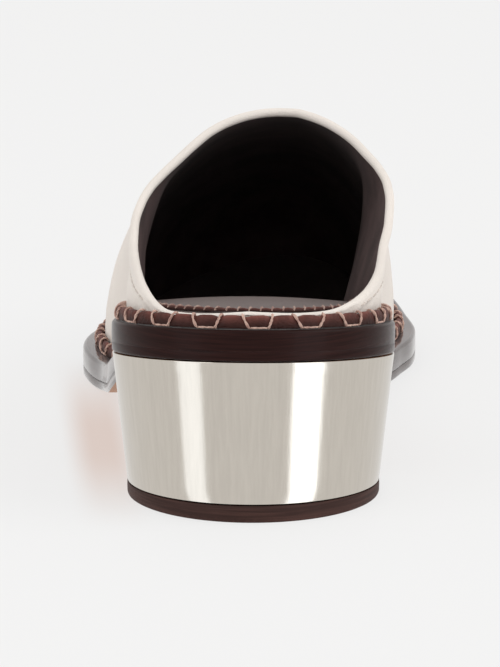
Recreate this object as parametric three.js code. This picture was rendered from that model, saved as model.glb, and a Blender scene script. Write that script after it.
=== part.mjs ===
// A left mule: closed toe, open back, a stitched strip round a thick sole, and a tapered block heel in metal.
// Millimetres. The toe points to +Y, the inner (big toe) side is +X and up is +Z.
// Pieces are worked out from the back of the sole at y = 0, and the whole shoe is then set over the origin.

import * as THREE from "three";

// Sole
const SOLE_LENGTH = 250; // heel back to toe tip
const BALL_WIDTH = 88.4; // across the ball of the foot
const HEEL_WIDTH = 69.8; // across the heel seat
const HEEL_RISE = 40.9; // floor to the underside of the outsole at the heel back
const TOE_SPRING = 7; // floor to the underside of the outsole at the toe tip
const HEEL_ROUND = 38; // how far forward the rounding of the heel back reaches
const TOE_ROUND = 50; // how far back the rounding of the toe reaches
const HEEL_ROUND_POWER = 2; // 2 gives an ellipse, and more gives a squarer end
const TOE_ROUND_POWER = 2.3;
const OUTSOLE_THICKNESS = 2.4;
const MIDSOLE_THICKNESS = 5.1;
const OUTSOLE_EDGE = 0.6; // softened lower edge of the outsole
const MIDSOLE_EDGE = 1.0; // softened upper edge of the midsole
const EDGE_SHOULDER = 0.3; // share of that edge left at the ring in its middle

// Heel
const HEEL_LENGTH = 56; // heel back to breast, at the seat
const HEEL_SIDE_TAPER = 3.6; // each side comes in by this much at the foot of the heel
const HEEL_BACK_TAPER = 3.0; // the back comes forward by this much
const HEEL_BREAST_TAPER = 2.5; // the breast goes back by this much
const BREAST_HOLLOW = 3.0; // the breast is hollowed by this much at its middle
const LIFT_THICKNESS = 4.4; // at the back
const LIFT_FALL = 2.2; // how much thinner the lift is at the breast
const LIFT_EDGE = 0.4;

// Stitched strip between the sole's ledge and the upper
const STRIP_HEIGHT = 3.0;
const STRIP_THICKNESS = 1.8;
const LEDGE_AT_HEEL = 1.2; // sole's edge to the strip
const LEDGE_AT_BALL = 3.6;
const LEDGE_FULL_AT = 0.52; // share of the sole's length at which the ledge has its full width

// Upper
const UPPER_WALL = 2.2;
const HEEL_EDGE_HEIGHT = 2.7; // the upper's low edge round the heel seat, above the midsole
const COLLAR_RISE = 29.3; // collar's highest point above that low edge
const COLLAR_REACH = 115; // heel back to the collar's highest point
const COLLAR_WIDTH = 62; // across the opening, middle of the rim to middle of the rim
const RIM_CROWN = 0.8; // how far the rim's rounding stands over its two edges

// Insole and the binding inside the heel edge
const INSOLE_THICKNESS = 3.4;
const INSOLE_EDGE_HEIGHT = 0.4; // its softened upper edge
const INSOLE_EDGE_WIDTH = 0.6;
const BINDING_HEIGHT = 1.2;
const BINDING_THICKNESS = 1.8;
const BINDING_REACH = 74; // how far forward the binding runs on each side

// Clearance between pieces that touch
const GAP = 0.3;
const STRIP_CLEARANCE = 0.5; // strip to upper
const INSOLE_CLEARANCE = 1.2; // upper to insole and binding, which keeps them clear of walls that lean in

// Mesh steps
const HALF_STEPS = 40; // heel back to toe tip, on each side
const RIB_STEPS = 12; // sole to collar
const HEEL_STEPS = 14; // heel back to breast
const HEEL_ACROSS = 8; // one side of the heel to the other
const HEEL_LEVELS = 4;

// Sole outline. along: share of the length. middle and half: centre line and half width, as shares of
// the width named.
const SOLE_OUTLINE = [
  { along: 0.0, width: HEEL_WIDTH, middle: 0.0, half: 0.5 },
  { along: 0.155, width: HEEL_WIDTH, middle: 0.0, half: 0.5 },
  { along: 0.24, width: HEEL_WIDTH, middle: -0.018, half: 0.484 },
  { along: 0.32, width: BALL_WIDTH, middle: -0.035, half: 0.367 },
  { along: 0.4, width: BALL_WIDTH, middle: -0.057, half: 0.365 },
  { along: 0.48, width: BALL_WIDTH, middle: -0.074, half: 0.385 },
  { along: 0.56, width: BALL_WIDTH, middle: -0.081, half: 0.409 },
  { along: 0.62, width: BALL_WIDTH, middle: -0.091, half: 0.451 },
  { along: 0.66, width: BALL_WIDTH, middle: -0.086, half: 0.478 },
  { along: 0.71, width: BALL_WIDTH, middle: -0.066, half: 0.495 },
  { along: 0.76, width: BALL_WIDTH, middle: -0.045, half: 0.482 },
  { along: 0.82, width: BALL_WIDTH, middle: -0.033, half: 0.44 },
  { along: 0.88, width: BALL_WIDTH, middle: -0.015, half: 0.4 },
  { along: 1.0, width: BALL_WIDTH, middle: 0.026, half: 0.32 },
];

// Underside of the outsole. heel: share of HEEL_RISE. toe: share of TOE_SPRING.
const SOLE_PROFILE = [
  { along: 0.0, heel: 1.0, toe: 0.0 },
  { along: 0.11, heel: 0.9, toe: 0.0 },
  { along: 0.22, heel: 0.785, toe: 0.0 },
  { along: 0.3, heel: 0.64, toe: 0.0 },
  { along: 0.38, heel: 0.42, toe: 0.0 },
  { along: 0.46, heel: 0.2, toe: 0.0 },
  { along: 0.53, heel: 0.06, toe: 0.0 },
  { along: 0.6, heel: 0.0, toe: 0.0 },
  { along: 0.73, heel: 0.0, toe: 0.0 },
  { along: 0.82, heel: 0.0, toe: 0.13 },
  { along: 0.91, heel: 0.0, toe: 0.48 },
  { along: 1.0, heel: 0.0, toe: 1.0 },
];

// Collar on each side. around: how far the rib stands round the outline, from 0 at the heel back to 1 at
// the toe tip.
// along: share of COLLAR_REACH. out: sideways place on +X, as a share of half COLLAR_WIDTH.
// up: share of COLLAR_RISE over the low heel edge.
const COLLAR_INNER = [
  { around: 0.0, along: 0.0, out: 0.0, up: 0.0 },
  { around: 0.12, along: 0.1, out: 0.62, up: -0.04 },
  { around: 0.16, along: 0.15, out: 0.78, up: -0.01 },
  { around: 0.205, along: 0.22, out: 0.925, up: 0.066 },
  { around: 0.262, along: 0.32, out: 1.0, up: 0.158 },
  { around: 0.326, along: 0.452, out: 1.026, up: 0.262 },
  { around: 0.384, along: 0.565, out: 1.06, up: 0.361 },
  { around: 0.436, along: 0.66, out: 1.066, up: 0.464 },
  { around: 0.487, along: 0.74, out: 1.04, up: 0.563 },
  { around: 0.538, along: 0.8, out: 0.968, up: 0.656 },
  { around: 0.59, along: 0.852, out: 0.86, up: 0.744 },
  { around: 0.645, along: 0.896, out: 0.755, up: 0.823 },
  { around: 0.705, along: 0.93, out: 0.635, up: 0.892 },
  { around: 0.775, along: 0.962, out: 0.5, up: 0.946 },
  { around: 0.86, along: 0.986, out: 0.36, up: 0.982 },
  { around: 0.93, along: 0.997, out: 0.26, up: 0.997 },
  { around: 1.0, along: 1.0, out: 0.12, up: 1.0 },
];
const COLLAR_OUTER = [
  { around: 0.0, along: 0.0, out: 0.0, up: 0.0 },
  { around: 0.12, along: 0.1, out: -0.62, up: -0.054 },
  { around: 0.16, along: 0.15, out: -0.727, up: -0.005 },
  { around: 0.205, along: 0.21, out: -0.855, up: 0.113 },
  { around: 0.262, along: 0.32, out: -0.932, up: 0.19 },
  { around: 0.326, along: 0.452, out: -0.975, up: 0.268 },
  { around: 0.384, along: 0.565, out: -0.985, up: 0.356 },
  { around: 0.436, along: 0.66, out: -0.955, up: 0.44 },
  { around: 0.487, along: 0.725, out: -0.9, up: 0.518 },
  { around: 0.538, along: 0.78, out: -0.8, up: 0.607 },
  { around: 0.59, along: 0.828, out: -0.675, up: 0.705 },
  { around: 0.645, along: 0.872, out: -0.55, up: 0.803 },
  { around: 0.705, along: 0.912, out: -0.425, up: 0.887 },
  { around: 0.775, along: 0.948, out: -0.285, up: 0.944 },
  { around: 0.86, along: 0.979, out: -0.115, up: 0.983 },
  { around: 0.93, along: 0.995, out: 0.025, up: 0.997 },
  { around: 1.0, along: 1.0, out: 0.12, up: 1.0 },
];

// Shape of each rib from the sole to the collar. rise: how far it goes straight up first, as a share of
// its height.
// reach and drop: how far it still is from the collar when it starts to level out, as shares of its run
// and height.
// free: 0 where the collar is the low edge over the heel seat, 1 where it follows the collar tables.
const RIB_SHAPE = [
  { around: 0.0, rise: 0.33, reach: 0.33, drop: 0.33, free: 0.0 },
  { around: 0.08, rise: 0.33, reach: 0.33, drop: 0.33, free: 0.0 },
  { around: 0.25, rise: 0.5, reach: 0.33, drop: 0.25, free: 1.0 },
  { around: 0.4, rise: 0.38, reach: 0.3, drop: 0.33, free: 1.0 },
  { around: 0.5, rise: 0.42, reach: 0.38, drop: 0.3, free: 1.0 },
  { around: 0.6, rise: 0.41, reach: 0.46, drop: 0.29, free: 1.0 },
  { around: 0.75, rise: 0.42, reach: 0.48, drop: 0.28, free: 1.0 },
  { around: 1.0, rise: 0.42, reach: 0.46, drop: 0.27, free: 1.0 },
];

// Cross-sections of the strip and the binding. inward: share of the thickness, from the outer face. up:
// share of the height.
const STRIP_SECTION = [
  { inward: 0.0, up: 0.0 },
  { inward: 0.1, up: 0.68 },
  { inward: 0.45, up: 1.0 },
  { inward: 1.0, up: 0.935 },
  { inward: 1.0, up: 0.0 },
];
const BINDING_SECTION = [
  { inward: 0.0, up: 0.0 },
  { inward: 0.0, up: 0.55 },
  { inward: 0.45, up: 0.6 },
  { inward: 1.0, up: 0.0 },
];

// Value of one column of a table at a place between its rows, on a smooth curve that never overshoots a row
function tableValue(rows, key, column, at) {
  const last = rows.length - 1;
  if (at <= rows[0][key]) return rows[0][column];
  if (at >= rows[last][key]) return rows[last][column];
  let row = 0;
  while (rows[row + 1][key] < at) row += 1;
  const slope = (k) => (rows[k + 1][column] - rows[k][column]) / (rows[k + 1][key] - rows[k][key]);
  const tangent = (k) => {
    if (k === 0) return slope(0);
    if (k === last) return slope(last - 1);
    const before = slope(k - 1);
    const after = slope(k);
    return before * after <= 0 ? 0 : (2 * before * after) / (before + after);
  };
  const span = rows[row + 1][key] - rows[row][key];
  const t = (at - rows[row][key]) / span;
  const start = rows[row][column];
  const end = rows[row + 1][column];
  return (
    start * (1 + 2 * t) * (1 - t) ** 2 +
    end * t * t * (3 - 2 * t) +
    span * (tangent(row) * t * (1 - t) ** 2 - tangent(row + 1) * t * t * (1 - t))
  );
}

// Heights along the sole
function soleUnderside(y) {
  const along = y / SOLE_LENGTH;
  return (
    HEEL_RISE * tableValue(SOLE_PROFILE, "along", "heel", along) +
    TOE_SPRING * tableValue(SOLE_PROFILE, "along", "toe", along)
  );
}
const midsoleUnderside = (y) => soleUnderside(y) + OUTSOLE_THICKNESS + GAP;
const midsoleTop = (y) => midsoleUnderside(y) + MIDSOLE_THICKNESS;
const liftTop = (y) => LIFT_THICKNESS - (LIFT_FALL * y) / HEEL_LENGTH;

// Rounding of the outline's two ends, from 0 at the very end to 1 where the rounding stops
function endRounding(y) {
  const round = (distance, reach, power) => {
    const left = 1 - Math.min(distance / reach, 1);
    return (1 - left ** power) ** (1 / power);
  };
  return round(y, HEEL_ROUND, HEEL_ROUND_POWER) * round(SOLE_LENGTH - y, TOE_ROUND, TOE_ROUND_POWER);
}

// One point of the sole's edge. side is 1 on the inner side and -1 on the outer side.
function solePoint(y, side) {
  const along = y / SOLE_LENGTH;
  const scaled = SOLE_OUTLINE.map((row) => ({
    along: row.along,
    middle: row.middle * row.width,
    half: row.half * row.width,
  }));
  const middle = tableValue(scaled, "along", "middle", along);
  const half = tableValue(scaled, "along", "half", along) * endRounding(y);
  return { x: middle + side * half, y };
}

// Closed loop round the sole, from the heel back along the inner side to the toe and back along the
// outer side.
// Each point keeps its outward normal, so that other pieces can follow the same outline further in.
function soleLoop() {
  const places = [];
  for (let step = 0; step <= HALF_STEPS; step += 1) {
    places.push((SOLE_LENGTH * (1 - Math.cos((Math.PI * step) / HALF_STEPS))) / 2);
  }
  const inner = places.map((y) => solePoint(y, 1));
  const outer = places.slice(1, -1).reverse().map((y) => solePoint(y, -1));
  const loop = [...inner, ...outer];
  return loop.map((point, index) => {
    const before = loop[(index + loop.length - 1) % loop.length];
    const after = loop[(index + 1) % loop.length];
    const normal = new THREE.Vector2(after.y - before.y, before.x - after.x).normalize();
    const side = index <= HALF_STEPS ? 1 : -1;
    const around = Math.min(index, loop.length - index) / HALF_STEPS;
    return { x: point.x, y: point.y, nx: normal.x, ny: normal.y, side, around };
  });
}
const LOOP = soleLoop();

const insetPoint = (point, inset) => ({ x: point.x - point.nx * inset, y: point.y - point.ny * inset });

// Ledge from the sole's edge to the strip, narrow round the heel and wider round the forefoot
function ledge(y) {
  const t = THREE.MathUtils.smoothstep(y, HEEL_LENGTH, SOLE_LENGTH * LEDGE_FULL_AT);
  return THREE.MathUtils.lerp(LEDGE_AT_HEEL, LEDGE_AT_BALL, t);
}
const upperInset = (y) => ledge(y) + STRIP_THICKNESS + STRIP_CLEARANCE;
const liningInset = (y) => upperInset(y) + UPPER_WALL + INSOLE_CLEARANCE;

// Mesh from points and triangles
function meshOf(name, positions, triangles, finish) {
  const geometry = new THREE.BufferGeometry();
  geometry.setAttribute("position", new THREE.Float32BufferAttribute(positions.flat(), 3));
  geometry.setIndex(triangles.flat());
  geometry.computeVertexNormals();
  const mesh = new THREE.Mesh(geometry, new THREE.MeshStandardMaterial(finish));
  mesh.name = name;
  return mesh;
}

// Two triangles between two neighbouring rings at one step round them
function ringFace(lower, upper, step, next) {
  return [
    [lower + step, lower + next, upper + next],
    [lower + step, upper + next, upper + step],
  ];
}

// Solid whose rings each follow the whole sole outline, closed by a face across the first ring and the last
function outlineSolid(name, rings, finish) {
  const count = LOOP.length;
  const positions = rings.flatMap((ring) =>
    LOOP.map((point) => {
      const place = insetPoint(point, ring.inset(point.y));
      return [place.x, place.y, ring.height(place.y)];
    }),
  );
  const triangles = [];
  for (let ring = 0; ring + 1 < rings.length; ring += 1) {
    for (let step = 0; step < count; step += 1) {
      triangles.push(...ringFace(ring * count, (ring + 1) * count, step, (step + 1) % count));
    }
  }
  const top = (rings.length - 1) * count;
  for (let step = 0; step < HALF_STEPS; step += 1) {
    const right = [step, step + 1];
    const left = [(count - step) % count, count - step - 1];
    const across = [
      [right[0], right[1], left[1]],
      [right[0], left[1], left[0]],
    ].filter((face) => new Set(face).size === 3);
    across.forEach(([a, b, c]) => {
      triangles.push([top + a, top + b, top + c]);
      triangles.push([c, b, a]);
    });
  }
  return meshOf(name, positions, triangles, finish);
}

// Section of a band from its table, with the place of its outer face and foot
function sectionOf(rows, face, thickness, foot, height) {
  return rows.map((row) => ({
    inset: (y) => face(y) + thickness * row.inward,
    height: (y) => foot(y) + height * row.up,
  }));
}

// Closed band: a small section carried round a run of the outline, joined end to end or capped at both ends
function outlineBand(name, run, section, closed, finish) {
  const count = section.length;
  const positions = run.flatMap((point) =>
    section.map((corner) => {
      const place = insetPoint(point, corner.inset(point.y));
      return [place.x, place.y, corner.height(place.y)];
    }),
  );
  const triangles = [];
  const sections = closed ? run.length : run.length - 1;
  for (let step = 0; step < sections; step += 1) {
    const here = step * count;
    const next = ((step + 1) % run.length) * count;
    for (let corner = 0; corner < count; corner += 1) {
      const following = (corner + 1) % count;
      triangles.push([here + corner, next + corner, next + following]);
      triangles.push([here + corner, next + following, here + following]);
    }
  }
  if (!closed) {
    const end = (run.length - 1) * count;
    for (let corner = 1; corner + 1 < count; corner += 1) {
      triangles.push([0, corner, corner + 1]);
      triangles.push([end, end + corner + 1, end + corner]);
    }
  }
  return meshOf(name, positions, triangles, finish);
}

// Outsole: thin leather under the whole shoe
function outsole() {
  const rings = [
    { inset: () => OUTSOLE_EDGE + GAP, height: soleUnderside },
    { inset: () => GAP, height: (y) => soleUnderside(y) + OUTSOLE_EDGE },
    { inset: () => GAP, height: (y) => soleUnderside(y) + OUTSOLE_THICKNESS },
  ];
  return outlineSolid("outsole", rings, { color: 0xb3876e, roughness: 0.6, metalness: 0 });
}

// Midsole: the thick polished layer whose edge shows all round
function midsole() {
  const rings = [
    { inset: () => 0, height: midsoleUnderside },
    { inset: () => 0, height: (y) => midsoleTop(y) - MIDSOLE_EDGE },
    {
      inset: () => MIDSOLE_EDGE * EDGE_SHOULDER,
      height: (y) => midsoleTop(y) - MIDSOLE_EDGE * EDGE_SHOULDER,
    },
    { inset: () => MIDSOLE_EDGE, height: midsoleTop },
  ];
  return outlineSolid("midsole", rings, { color: 0x2a1816, roughness: 0.25, metalness: 0 });
}

// Strip: the leather band that is whip stitched round the foot of the upper
function stitchedStrip() {
  const foot = (y) => midsoleTop(y) + GAP;
  const section = sectionOf(STRIP_SECTION, ledge, STRIP_THICKNESS, foot, STRIP_HEIGHT);
  return outlineBand("stitched_strip", LOOP, section, true, { color: 0x573835, roughness: 0.55, metalness: 0 });
}

// Insole: flat leather inside the upper
function insole() {
  const foot = (y) => midsoleTop(y) + GAP;
  const rings = [
    { inset: liningInset, height: foot },
    { inset: liningInset, height: (y) => foot(y) + INSOLE_THICKNESS - INSOLE_EDGE_HEIGHT },
    { inset: (y) => liningInset(y) + INSOLE_EDGE_WIDTH, height: (y) => foot(y) + INSOLE_THICKNESS },
  ];
  return outlineSolid("insole", rings, { color: 0x7f7472, roughness: 0.6, metalness: 0 });
}

// Binding: a low roll on the insole that covers the inside of the upper's heel edge
function heelBinding() {
  const around = [...LOOP.slice(HALF_STEPS), ...LOOP.slice(0, HALF_STEPS)];
  const run = around.filter((point) => point.y <= BINDING_REACH);
  const foot = (y) => midsoleTop(y) + GAP + INSOLE_THICKNESS + GAP;
  const section = sectionOf(BINDING_SECTION, liningInset, BINDING_THICKNESS, foot, BINDING_HEIGHT);
  return outlineBand("heel_binding", run, section, false, { color: 0x573835, roughness: 0.55, metalness: 0 });
}

// Where the collar stands over one point of the outline
function collarPoint(point) {
  const rows = point.side > 0 ? COLLAR_INNER : COLLAR_OUTER;
  const foot = insetPoint(point, upperInset(point.y) + UPPER_WALL / 2);
  const heelTop = midsoleTop(0) + HEEL_EDGE_HEIGHT;
  const free = tableValue(RIB_SHAPE, "around", "free", point.around);
  const along = tableValue(rows, "around", "along", point.around) * COLLAR_REACH;
  const out = (tableValue(rows, "around", "out", point.around) * COLLAR_WIDTH) / 2;
  const up = heelTop + tableValue(rows, "around", "up", point.around) * COLLAR_RISE;
  return new THREE.Vector3(
    THREE.MathUtils.lerp(foot.x, out, free),
    THREE.MathUtils.lerp(foot.y, along, free),
    up,
  );
}

// One rib of the upper's middle surface, from the sole to the collar
function upperRib(point) {
  const shape = (column) => tableValue(RIB_SHAPE, "around", column, point.around);
  const place = insetPoint(point, upperInset(point.y) + UPPER_WALL / 2);
  const foot = new THREE.Vector3(place.x, place.y, midsoleTop(place.y) + GAP);
  const collar = collarPoint(point);
  const height = collar.z - foot.z;
  const low = foot.clone().add(new THREE.Vector3(0, 0, shape("rise") * height));
  const high = new THREE.Vector3(
    THREE.MathUtils.lerp(collar.x, foot.x, shape("reach")),
    THREE.MathUtils.lerp(collar.y, foot.y, shape("reach")),
    collar.z - shape("drop") * height,
  );
  return new THREE.CubicBezierCurve3(foot, low, high, collar).getPoints(RIB_STEPS);
}

// Outward normal of a grid of ribs at one rib and step
function gridNormal(ribs, rib, step) {
  const count = ribs.length;
  const round = ribs[(rib + 1) % count][step].clone().sub(ribs[(rib + count - 1) % count][step]);
  const above = ribs[rib][Math.min(step + 1, RIB_STEPS)].clone();
  const up = above.sub(ribs[rib][Math.max(step - 1, 0)]);
  return round.cross(up).normalize();
}

// Upper: one hollow wall from the sole to the folded rim, round the toe, both sides and the heel
function upper() {
  const ribs = LOOP.map(upperRib);
  const sections = ribs.map((rib, index) => {
    const offset = (step, distance) => {
      const normal = gridNormal(ribs, index, step);
      if (step === 0) normal.setZ(0).normalize();
      return rib[step].clone().addScaledVector(normal, distance);
    };
    const steps = [...Array(RIB_STEPS + 1).keys()];
    const outside = steps.map((step) => offset(step, UPPER_WALL / 2));
    const inside = steps.map((step) => offset(step, -UPPER_WALL / 2)).reverse();
    const edge = rib[RIB_STEPS].clone().sub(rib[RIB_STEPS - 1]).normalize();
    const crown = rib[RIB_STEPS].clone().addScaledVector(edge, RIM_CROWN);
    return [...outside, crown, ...inside];
  });
  const count = sections[0].length;
  const positions = sections.flatMap((section) => section.map((point) => point.toArray()));
  const triangles = [];
  for (let rib = 0; rib < sections.length; rib += 1) {
    const here = rib * count;
    const next = ((rib + 1) % sections.length) * count;
    for (let step = 0; step < count; step += 1) {
      const following = (step + 1) % count;
      triangles.push([here + step, next + step, next + following]);
      triangles.push([here + step, next + following, here + following]);
    }
  }
  return meshOf("upper", positions, triangles, { color: 0xdad1c8, roughness: 0.7, metalness: 0 });
}

// Heel outline at one level, as rows from the back to the breast. level is 0 at the foot of the heel and
// 1 at the seat.
function heelRows(level) {
  const rows = [];
  const taper = 1 - level;
  for (let row = 0; row <= HEEL_STEPS; row += 1) {
    const share = 1 - Math.cos((Math.PI * row) / (2 * HEEL_STEPS));
    const y = HEEL_LENGTH * share;
    const inner = solePoint(y, 1);
    const outer = solePoint(y, -1);
    const slim = 1 - (taper * 2 * HEEL_SIDE_TAPER) / HEEL_WIDTH;
    const back = taper * HEEL_BACK_TAPER;
    const length = HEEL_LENGTH - GAP - back - taper * HEEL_BREAST_TAPER;
    const points = [];
    for (let step = 0; step <= HEEL_ACROSS; step += 1) {
      const across = step / HEEL_ACROSS;
      const hollow = BREAST_HOLLOW * 4 * across * (1 - across) * share * share;
      points.push({
        x: THREE.MathUtils.lerp(inner.x, outer.x, across) * slim * (1 - GAP / HEEL_WIDTH),
        y: GAP + back + length * share - hollow,
      });
    }
    rows.push(points);
  }
  return rows;
}

// Solid between two heel levels. The first row of each level is one point at the back, kept once.
function heelSolid(name, levels, finish) {
  const across = HEEL_ACROSS + 1;
  const positions = [];
  const indexOf = (level, row, step) => {
    const start = level * (1 + HEEL_STEPS * across);
    return row === 0 ? start : start + 1 + (row - 1) * across + step;
  };
  levels.forEach((level) => {
    heelRows(level.taperLevel).forEach((points, row) => {
      (row === 0 ? points.slice(0, 1) : points).forEach((point) => {
        const x = point.x * level.slim;
        positions.push([x, point.y, level.height(point.y)]);
      });
    });
  });
  const triangles = [];
  const addFace = (corners) => {
    for (let corner = 1; corner + 1 < corners.length; corner += 1) {
      const face = [corners[0], corners[corner], corners[corner + 1]];
      if (new Set(face).size === 3) triangles.push(face);
    }
  };
  const top = levels.length - 1;
  for (let row = 0; row < HEEL_STEPS; row += 1) {
    for (let step = 0; step < HEEL_ACROSS; step += 1) {
      const corners = [
        [row, step],
        [row + 1, step],
        [row + 1, step + 1],
        [row, step + 1],
      ];
      addFace(corners.map(([r, s]) => indexOf(top, r, s)));
      addFace(corners.map(([r, s]) => indexOf(0, r, s)).reverse());
    }
  }
  const rim = [[0, 0]];
  for (let row = 1; row <= HEEL_STEPS; row += 1) rim.push([row, 0]);
  for (let step = 1; step <= HEEL_ACROSS; step += 1) rim.push([HEEL_STEPS, step]);
  for (let row = HEEL_STEPS - 1; row >= 1; row -= 1) rim.push([row, HEEL_ACROSS]);
  for (let level = 0; level < top; level += 1) {
    rim.forEach(([row, step], index) => {
      const [nextRow, nextStep] = rim[(index + 1) % rim.length];
      addFace([
        indexOf(level, row, step),
        indexOf(level, nextRow, nextStep),
        indexOf(level + 1, nextRow, nextStep),
        indexOf(level + 1, row, step),
      ]);
    });
  }
  return meshOf(name, positions, triangles, finish);
}

// Heel block: tapered metal body from the top lift up to the sloping seat
function heelBlock() {
  const levels = [];
  for (let step = 0; step <= HEEL_LEVELS; step += 1) {
    const level = step / HEEL_LEVELS;
    levels.push({
      taperLevel: level,
      slim: 1,
      height: (y) => THREE.MathUtils.lerp(liftTop(y) + GAP, soleUnderside(y) - GAP, level),
    });
  }
  return heelSolid("heel_block", levels, { color: 0xc8c2ba, roughness: 0.15, metalness: 1 });
}

// Top lift: the wearing piece under the heel
function topLift() {
  const inset = 1 - (2 * LIFT_EDGE) / HEEL_WIDTH;
  const levels = [
    { taperLevel: 0, slim: inset, height: () => 0 },
    { taperLevel: 0, slim: 1, height: () => LIFT_EDGE },
    { taperLevel: 0, slim: 1, height: liftTop },
  ];
  return heelSolid("top_lift", levels, { color: 0x3f2d29, roughness: 0.5, metalness: 0 });
}

// The whole shoe, moved so that the origin is on the floor under the middle of its box
function mule() {
  const shoe = new THREE.Group();
  shoe.add(topLift(), heelBlock(), outsole(), midsole(), stitchedStrip(), insole(), heelBinding(), upper());
  const middle = new THREE.Box3().setFromObject(shoe, true).getCenter(new THREE.Vector3());
  shoe.position.set(-middle.x, -middle.y, 0);
  return shoe;
}

export default mule();
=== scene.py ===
"""Looks of a left mule: leather upper, whip stitched strip, polished sole, metal heel and a pale floor."""

import math
from collections import namedtuple

import bpy
import numpy as np
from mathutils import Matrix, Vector, noise


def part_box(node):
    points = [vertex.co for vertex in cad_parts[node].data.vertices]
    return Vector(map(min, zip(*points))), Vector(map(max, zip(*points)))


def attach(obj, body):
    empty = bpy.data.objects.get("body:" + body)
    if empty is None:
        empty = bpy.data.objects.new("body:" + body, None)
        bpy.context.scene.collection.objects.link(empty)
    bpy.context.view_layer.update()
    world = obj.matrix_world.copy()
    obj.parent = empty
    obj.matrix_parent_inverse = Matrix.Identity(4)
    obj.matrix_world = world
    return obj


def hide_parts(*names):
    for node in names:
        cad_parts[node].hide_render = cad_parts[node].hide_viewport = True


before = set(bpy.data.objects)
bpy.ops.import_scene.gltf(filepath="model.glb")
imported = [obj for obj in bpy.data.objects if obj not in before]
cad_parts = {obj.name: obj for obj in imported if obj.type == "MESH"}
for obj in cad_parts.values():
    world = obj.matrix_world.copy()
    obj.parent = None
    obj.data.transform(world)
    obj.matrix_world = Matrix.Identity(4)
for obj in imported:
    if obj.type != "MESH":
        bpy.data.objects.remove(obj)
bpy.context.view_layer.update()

bl_info = {
    "name": "Left mule",
    "version": (1, 0, 0),
    "blender": (4, 5, 0),
    "location": "View3D > Sidebar > Mule",
    "description": "Builds the leather, stitching, sole and heel of a left mule round its solids",
    "category": "Object",
}

MM = 0.001

# Sizes of the shoe in millimetres, the same as those of its solids
SOLE_LENGTH = 250.0
BALL_WIDTH = 88.4
HEEL_WIDTH = 69.8
HEEL_RISE = 40.9
TOE_SPRING = 7.0
HEEL_ROUND = 38.0
TOE_ROUND = 50.0
HEEL_ROUND_POWER = 2.0
TOE_ROUND_POWER = 2.3
OUTSOLE_THICKNESS = 2.4
MIDSOLE_THICKNESS = 5.1
OUTSOLE_EDGE = 0.6
MIDSOLE_EDGE = 1.0
HEEL_LENGTH = 56.0
HEEL_SIDE_TAPER = 3.6
HEEL_BACK_TAPER = 3.0
HEEL_BREAST_TAPER = 2.5
BREAST_HOLLOW = 3.0
LIFT_THICKNESS = 4.4
LIFT_FALL = 2.2
LIFT_EDGE = 0.4
STRIP_HEIGHT = 3.0
STRIP_THICKNESS = 1.8
LEDGE_AT_HEEL = 1.2
LEDGE_AT_BALL = 3.6
LEDGE_FULL_AT = 0.52
UPPER_WALL = 2.2
HEEL_EDGE_HEIGHT = 2.7
COLLAR_RISE = 29.3
COLLAR_REACH = 115.0
COLLAR_WIDTH = 62.0
INSOLE_THICKNESS = 3.4
BINDING_REACH = 74.0
GAP = 0.3
STRIP_CLEARANCE = 0.5

# Sizes that dress the solids: a softer rim, a closer and padded insole, a lower and fuller binding
RIM_CROWN = 0.9
INSOLE_CLEARANCE = 0.7
INSOLE_EDGE = 0.5
SEAT_CROWN = 1.6
BINDING_HEIGHT = 0.9
BINDING_THICKNESS = 1.9

# Sole outline: share of the length, width that the other two are shares of, centre line, half width
SOLE_OUTLINE = (
    (0.0, HEEL_WIDTH, 0.0, 0.5),
    (0.155, HEEL_WIDTH, 0.0, 0.5),
    (0.24, HEEL_WIDTH, -0.018, 0.484),
    (0.32, BALL_WIDTH, -0.035, 0.367),
    (0.4, BALL_WIDTH, -0.057, 0.365),
    (0.48, BALL_WIDTH, -0.074, 0.385),
    (0.56, BALL_WIDTH, -0.081, 0.409),
    (0.62, BALL_WIDTH, -0.091, 0.451),
    (0.66, BALL_WIDTH, -0.086, 0.478),
    (0.71, BALL_WIDTH, -0.066, 0.495),
    (0.76, BALL_WIDTH, -0.045, 0.482),
    (0.82, BALL_WIDTH, -0.033, 0.44),
    (0.88, BALL_WIDTH, -0.015, 0.4),
    (1.0, BALL_WIDTH, 0.026, 0.32),
)

# Underside of the outsole: share of the length, share of the heel's rise, share of the toe spring
SOLE_PROFILE = (
    (0.0, 1.0, 0.0),
    (0.11, 0.9, 0.0),
    (0.22, 0.785, 0.0),
    (0.3, 0.64, 0.0),
    (0.38, 0.42, 0.0),
    (0.46, 0.2, 0.0),
    (0.53, 0.06, 0.0),
    (0.6, 0.0, 0.0),
    (0.73, 0.0, 0.0),
    (0.82, 0.0, 0.13),
    (0.91, 0.0, 0.48),
    (1.0, 0.0, 1.0),
)

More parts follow.
